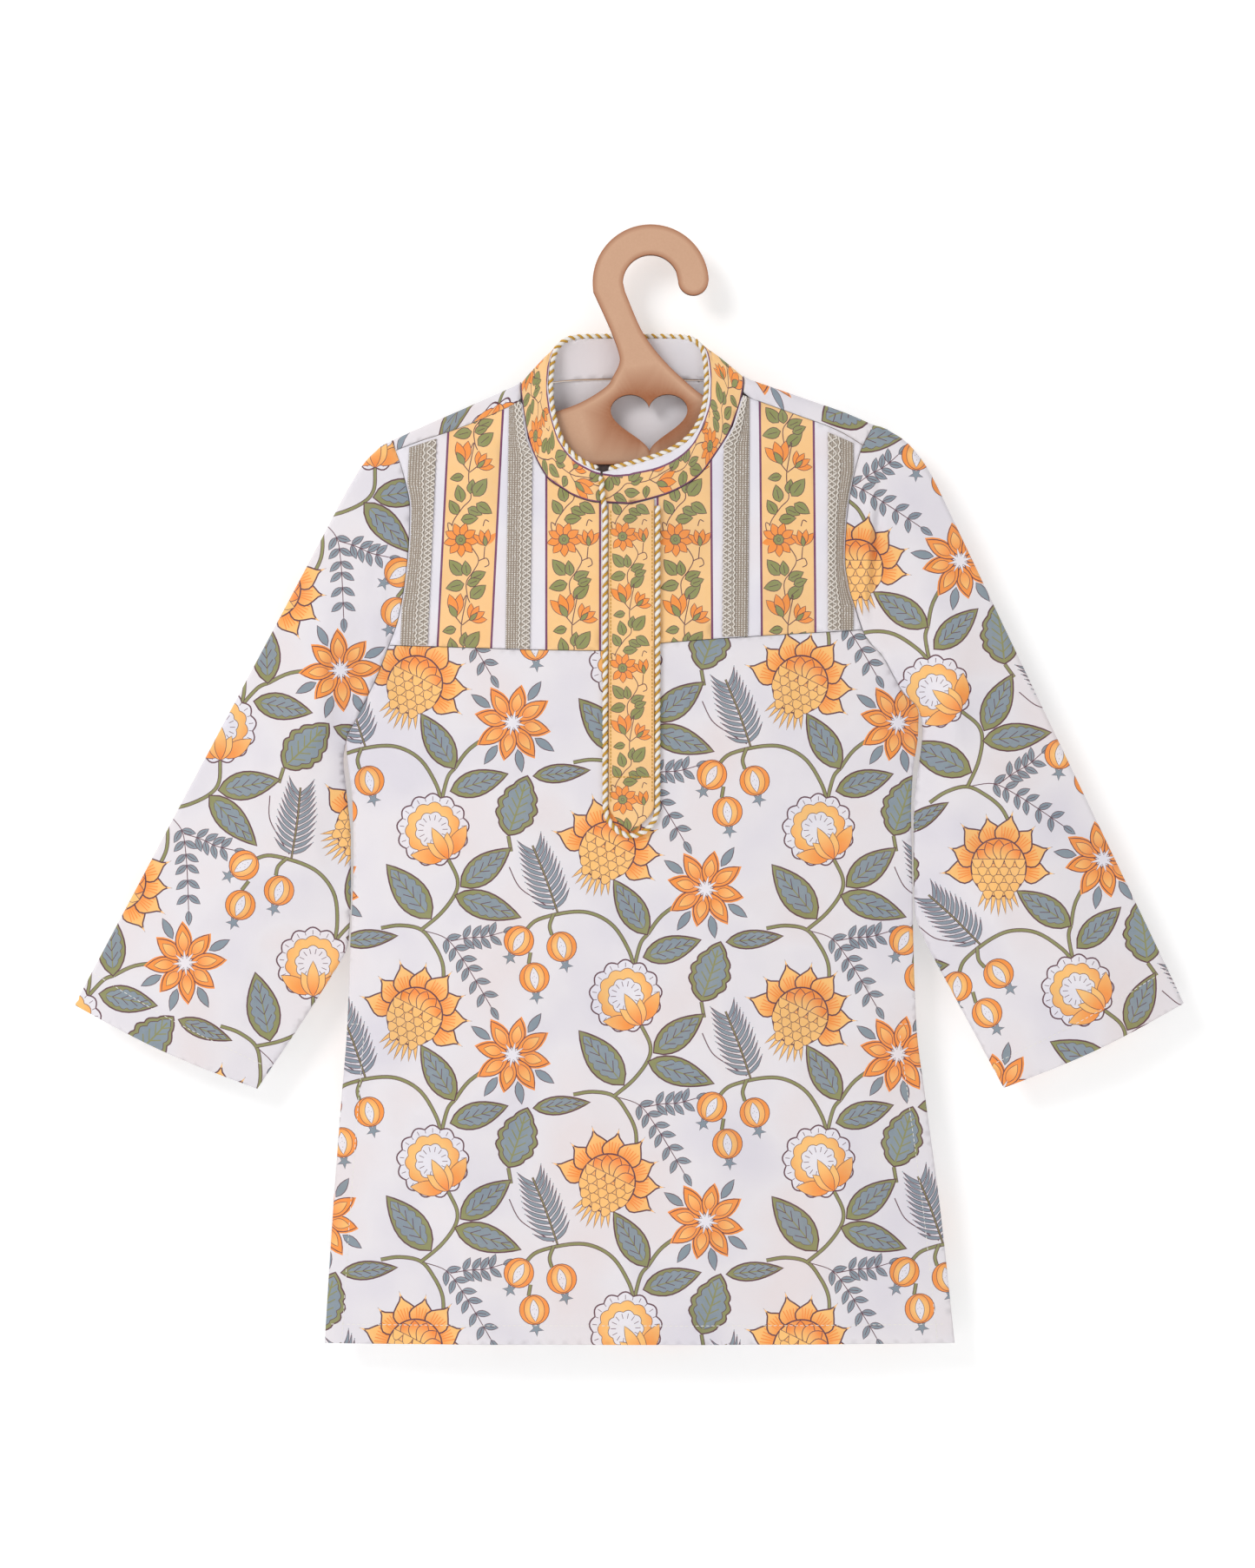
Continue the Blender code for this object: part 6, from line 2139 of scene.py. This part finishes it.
            ring = [(a, row, column), (a + 1, row, column + 1), (a + columns + 1, row + 1, column + 1),
                    (a + columns, row + 1, column)][::sign]
            faces.append([corner for corner, _, _ in ring])
            chart += [(along / rows, across / 8.0) for _, along, across in ring]
        mesh = mesh_of(f"lace_{number}_ribbon", self.front.at(flat, 0.75), faces, self.cloth.lace)
        mesh.uv_layers.new(name=BAKE_MAP).data.foreach_set("uv", np.array(chart).ravel() * 0.99 + 0.005)
        ribbon = link(mesh)
        if sum(face.normal.y for face in mesh.polygons) > 0.0:
            edit_all(bpy.ops.mesh.flip_normals)
        thicken(ribbon, 0.35)
        bpy.ops.object.shade_smooth()
        size = flat.max(axis=0) - flat.min(axis=0)
        grid = flat.reshape(rows + 1, columns, 2)
        abs(area_of(border_of(grid))) * MM * MM
        dress(ribbon, "woven_lace", f"lace_{number}")
        self.build_picot(number, grid)

    def build_picot(self, number: int, grid: np.ndarray) -> None:
        """Make the pale looped threads along a lace strip's inner edge."""
        points, faces = [], []
        marks = np.linspace(0.0, len(grid) - 1.0, len(grid) * 2)
        low = np.floor(marks).astype(int).clip(0, len(grid) - 2)
        part = (marks - low)[:, None]
        outer, inner = (grid[low, edge] * (1.0 - part) + grid[low + 1, edge] * part for edge in (0, -1))
        for start, swing, phase in ((0.92, 0.07, 0.0), (0.74, 0.07, math.pi), (0.56, 0.03, 0.0)):
            share = (start + swing * np.sin(math.tau * outer[:, 1] / 3.3 + phase))[:, None]
            line = self.front.at(outer + (inner - outer) * share, 1.15)
            side = unit_rows(np.cross(unit_rows(np.gradient(line, axis=0)), FORWARD))
            strand = tube(line, side, np.tile(FORWARD, (len(line), 1)), 0.42, 5, sum(map(len, points)))
            points.append(strand[0])
            faces += strand[1]
        loops = link(mesh_of(f"lace_{number}_loops", np.vstack(points), faces, self.cloth.lace_thread))
        face_outwards()
        bpy.ops.object.shade_smooth()
        dress(loops, "woven_lace")

    def build_cords(self) -> None:
        """Make the collar's cord and the placket's."""
        threads = (self.cloth.white_thread, self.cloth.gold_thread)
        line = (self.collar.tops - self.collar.outward())[1:-1]
        Cord("collar_twist", smooth_rows(line, 2), ("collar_cord",)).build(*threads)
        offset, proud = 13.2 + 0.3 + 1.6, 1.9
        neck = self.form.neckline(0.0)
        foot, top = self.collar.feet[-1], self.collar.tops[-1]
        rise = [foot + (top - foot) * part + (-0.9, -2.2, 0.0) for part in (0.8, 0.6, 0.4, 0.2)]
        flat = [(-offset, drop) for drop in np.linspace(neck + 2.0, 318.0, 60)]
        turn = 333.0 + 0.3 + 1.6 + 0.6 - 318.0
        for angle in np.linspace(0.0, math.pi, 30)[1:-1]:
            across = -offset * math.copysign(abs(math.cos(angle)) ** 1.15, math.cos(angle))
            flat.append((across, 318.0 + turn * math.sin(angle) ** 0.95))
        flat += [(offset, drop) for drop in np.linspace(318.0, neck + 1.5, 60)]
        path = np.vstack((np.array(rise), self.front.at(np.array(flat), proud)))
        Cord("placket_twist", smooth_rows(path, 2), ("placket_cord",)).build(*threads)

    def build_stitching(self, sleeves: dict[Side, Patch]) -> None:
        """Make the visible rows of stitches.

        Args:
            sleeves: Each sleeve's patch.
        """
        rows: list[tuple[Patch, np.ndarray]] = []
        level = HEM_DROP - HEM_FOLD
        for patch in (self.front, self.back):
            rows.append((patch, self.share_line(lambda share: level, -0.985, 0.985, 60)))
            for sign in (-1, 1):
                edge = self.side_line(sign, SLIT_TOP + 6.0, HEM_DROP - 1.0)
                rows.append((patch, edge - (sign * 10.0, 0.0)))
                tack = sign * self.form.half_width(sign, SLIT_TOP)
                ends = ((tack - sign * 10.5, SLIT_TOP), (tack - sign * 0.6, SLIT_TOP))
                rows.append((patch, np.array(ends)))
        for patch in sleeves.values():
            rows.append((patch, patch.flat[-5][3:-3]))
        Stitching("hem_stitches").build(rows, self.cloth.white_thread, "printed_cotton")
        lifted = Patch(self.front.flat, self.front.places + (0.0, -1.25, 0.0))
        drops = np.linspace(148.0, 316.0, 40)
        rows = [(lifted, np.column_stack((np.full(40, across), drops))) for across in (-11.9, 11.9)]
        rows.append((lifted, np.array(((-11.5, 301.5), (11.5, 301.5)))))
        Stitching("placket_stitches", 1.6, 0.5, 0.5).build(rows, self.cloth.gold_thread, "border_cotton")

    def build(self) -> None:
        """Make every piece of the garment."""
        self.build_front()
        self.build_back()
        for side in Side:
            self.build_yoke(side)
        sleeves = {side: self.build_sleeve(side) for side in Side}
        self.build_collar()
        self.build_placket()
        laces = ((Side.LEFT, 112.0, 117.2, 16.0), (Side.LEFT, 56.3, 58.2, 14.2),
                 (Side.RIGHT, 53.0, 52.0, 15.0), (Side.RIGHT, 113.0, 113.0, 15.0))
        for number, (side, top, bottom, width) in enumerate(laces, start=1):
            self.build_lace(number, side, top, bottom, width)
        self.build_cords()
        self.build_stitching(sleeves)


class PlateHanger:
    """The fibreboard hanger, with a scorched line round its cut edges."""

    THICKNESS = 5.0
    INNER_RADIUS = 16.0
    OUTER_RADIUS = 33.5
    TIP_RADIUS = 8.75
    TIP_CENTRE = (24.6, -14.8)
    HUB_X = -1.6
    TILT_DEG = 0.5
    STEM_LEFT = ((-33.2, 21), (-24.1, 41.5), (-19.2, 55), (-18.4, 62), (-21.9, 69.5), (-26.3, 76),
                 (-40.0, 84.5), (-55.6, 90.2))
    STEM_RIGHT = ((-14.9, 21), (-7.7, 39), (-2.6, 48.5), (4.5, 58), (15.6, 69.6), (31.2, 82.4),
                  (52.4, 90.2))
    ARM = ((75, 95.6), (95, 98.8), (112.5, 100.4), (125, 101.2), (132, 104.4), (135.5, 111),
           (132, 118), (110, 119), (75, 119.5), (40, 120.6))
    FOOT = 121.0

    def __init__(self, face: bpy.types.Material, edge: bpy.types.Material) -> None:
        """Keep the materials of the faces and of the cut edge."""
        self.face = face
        self.edge = edge

    @staticmethod
    def arc(centre: Point, radius: float, start: float, end: float, steps: int) -> np.ndarray:
        """Points of an arc, angles in degrees from across towards up."""
        angle = np.radians(np.linspace(start, end, steps + 1))
        return np.column_stack((centre[0] + radius * np.cos(angle), centre[1] + radius * np.sin(angle)))

    def outline(self) -> np.ndarray:
        """The plate's outer edge, across and up."""
        hook = (0.0, -self.INNER_RADIUS)
        body = [(x, -drop) for x, drop in self.STEM_LEFT]
        body += [(self.HUB_X - reach, -drop) for reach, drop in self.ARM]
        body += [(self.HUB_X, -self.FOOT)]
        body += [(self.HUB_X + reach, -drop) for reach, drop in reversed(self.ARM)]
        body += [(x, -drop) for x, drop in reversed(self.STEM_RIGHT)]
        return np.vstack((self.arc(hook, self.OUTER_RADIUS, 2.0, 186.0, 44), spline(body, 5),
                          self.arc(hook, self.INNER_RADIUS, 180.0, 22.0, 34),
                          self.arc(self.TIP_CENTRE, self.TIP_RADIUS, 180.0, 352.0, 20)))

    def heart(self) -> np.ndarray:
        """The hole in the hub."""
        angle = np.linspace(0.0, math.tau, 64, endpoint=False)
        up = (13.0 * np.cos(angle) - 5.0 * np.cos(2.0 * angle) - 2.0 * np.cos(3.0 * angle)
              - np.cos(4.0 * angle) - 12.0) / 29.0
        return np.column_stack((self.HUB_X + 22.2 * np.sin(angle) ** 3, -80.5 + 33.0 * up))

    def build(self) -> None:
        """Make the plate."""
        outline, heart = self.outline(), self.heart()
        rings = [(outline, 0.9), (heart, -0.9)]
        loops = [outline, heart]
        loops += [inset(ring, width * size) for ring, width in rings for size in (0.6, 1.6, 3.4)]
        edges, base = [], 0
        for ring in loops:
            edges.extend((base + i, base + (i + 1) % len(ring)) for i in range(len(ring)))
            base += len(ring)
        flat, faces = triangulated(np.vstack(loops), edges)
        middle = flat[faces].mean(axis=1)
        faces = faces[inside(middle, outline) & ~inside(middle, heart)]
        near = np.minimum(self.distance(flat, outline), self.distance(flat, heart))
        share = np.clip(near / 3.2, 0.0, 1.0)[:, None] ** 0.6
        dye = np.array(Ink.SCORCH.value) * (1.0 - share) + np.array(Ink.TAN.value) * share
        tilt = math.radians(self.TILT_DEG)
        x = flat[:, 0] * math.cos(tilt) - flat[:, 1] * math.sin(tilt)
        z = flat[:, 0] * math.sin(tilt) + flat[:, 1] * math.cos(tilt)
        front = np.full(len(flat), -0.5 * self.THICKNESS)
        rows, faces = used_only(np.column_stack((x, front, z, dye)), faces)
        places, dye = rows[:, :3], rows[:, 3:]
        if face_normals(places, faces[:1])[0, 1] > 0.0:
            faces = faces[:, ::-1]
        mesh = mesh_of("plate_hanger", places, faces.tolist(), self.face, self.edge)
        paint(mesh, dye[faces.ravel()])
        plate = link(mesh)
        thicken(plate, self.THICKNESS, 1)
        bpy.ops.object.shade_smooth_by_angle(angle=math.radians(35.0))
        dress(plate, "fibre_board", "hanger")

    @staticmethod
    def distance(points: np.ndarray, ring: np.ndarray) -> np.ndarray:
        """Distance of each point from a closed line's corners and edge middles."""
        spots = np.vstack((ring, 0.5 * (ring + np.roll(ring, -1, axis=0))))
        return np.sqrt(((points[:, None, :] - spots[None, :, :]) ** 2).sum(axis=2)).min(axis=1)


class Studio:
    """The pale floor and backdrop, the soft lights and the camera."""

    FRAME_CENTRE = (-0.01325, -0.3055)
    FRAME_HEIGHT = 0.903
    STAGE_HALF_WIDTH = 1.6
    WALL_Y = 0.021
    FLOOR_Z = -0.78
    LENS_MM = 100.0
    SENSOR_MM = 36.0

    def build(self) -> None:
        """Set up the studio."""
        wide, back, floor = self.STAGE_HALF_WIDTH, self.WALL_Y, self.FLOOR_Z
        stage = {
            "backdrop": ((-wide, back, -1.1), (wide, back, -1.1), (wide, back, 0.9), (-wide, back, 0.9)),
            "floor": ((-wide, -wide, floor), (wide, -wide, floor), (wide, back, floor), (-wide, back, floor))}
        for name, corners in stage.items():
            finish = PlainFinish("pale_" + name).make()
            mesh = mesh_of(name, np.array(corners) / MM, [(0, 1, 2, 3)], finish)
            link(mesh)
        self.lamp("key", (-1.3, -1.7, 0.95), 0.9, 26.0)
        self.lamp("fill", (1.4, -2.2, -0.2), 1.8, 6.0)
        self.lamp("back_fill", (0.6, 2.2, 0.4), 1.8, 14.0)
        world = bpy.data.worlds.new("studio")
        world.use_nodes = True
        sky = world.node_tree.nodes["Background"].inputs
        sky["Color"].default_value = (1.0, 1.0, 1.0, 1.0)
        sky["Strength"].default_value = 0.55
        bpy.context.scene.world = world
        bpy.context.scene.view_settings.view_transform = "Standard"
        self.camera()

    @staticmethod
    def lamp(name: str, place: tuple[float, float, float], size: float, power: float) -> None:
        """Hang a soft square lamp that faces the garment.

        Args:
            name: Its name.
            place: Where it hangs.
            size: The length of its side.
            power: Its power in watts.
        """
        data = bpy.data.lights.new(name, "AREA")
        data.size = size
        data.energy = power
        lamp = bpy.data.objects.new(name, data)
        lamp.location = place
        lamp.rotation_euler = (Vector((0.0, 0.0, -0.3)) - Vector(place)).to_track_quat("-Z", "Y").to_euler()
        bpy.context.scene.collection.objects.link(lamp)

    def camera(self) -> None:
        """Stand the camera square to the garment, at the photograph's framing."""
        data = bpy.data.cameras.new("camera")
        data.lens = self.LENS_MM
        data.sensor_width = self.SENSOR_MM
        camera = bpy.data.objects.new("camera", data)
        away = self.FRAME_HEIGHT / self.SENSOR_MM * self.LENS_MM
        camera.location = (self.FRAME_CENTRE[0], -away - 0.008, self.FRAME_CENTRE[1])
        camera.rotation_euler = (0.5 * math.pi, 0.0, 0.0)
        bpy.context.scene.collection.objects.link(camera)
        bpy.context.scene.camera = camera


def main() -> None:
    """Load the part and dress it."""
    logging.basicConfig(level=logging.INFO, format="%(name)s: %(message)s")
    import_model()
    Studio().build()
    cloth = Cloth(
        face=CottonFinish("printed_cotton_face", 0.0).make(),
        inside=CottonFinish("printed_cotton_inside", 0.35).make(),
        white_thread=ThreadFinish("white_thread", 0xFAF8F4, 0xDAD5CC).make(),
        gold_thread=ThreadFinish("gold_thread", 0xE0B04A, 0xA87A22, 0.25, 0.5).make(),
        lace=LaceFinish("woven_ribbon").make(),
        lace_thread=ThreadFinish("silver_thread", 0xF6F2EC, 0xD3C9BE, 0.1, 0.45).make())
    PlateHanger(BoardFinish("board_face", False).make(), BoardFinish("board_edge", True).make()).build()
    Kurta(cloth).build()


if __name__ == "__main__":
    main()
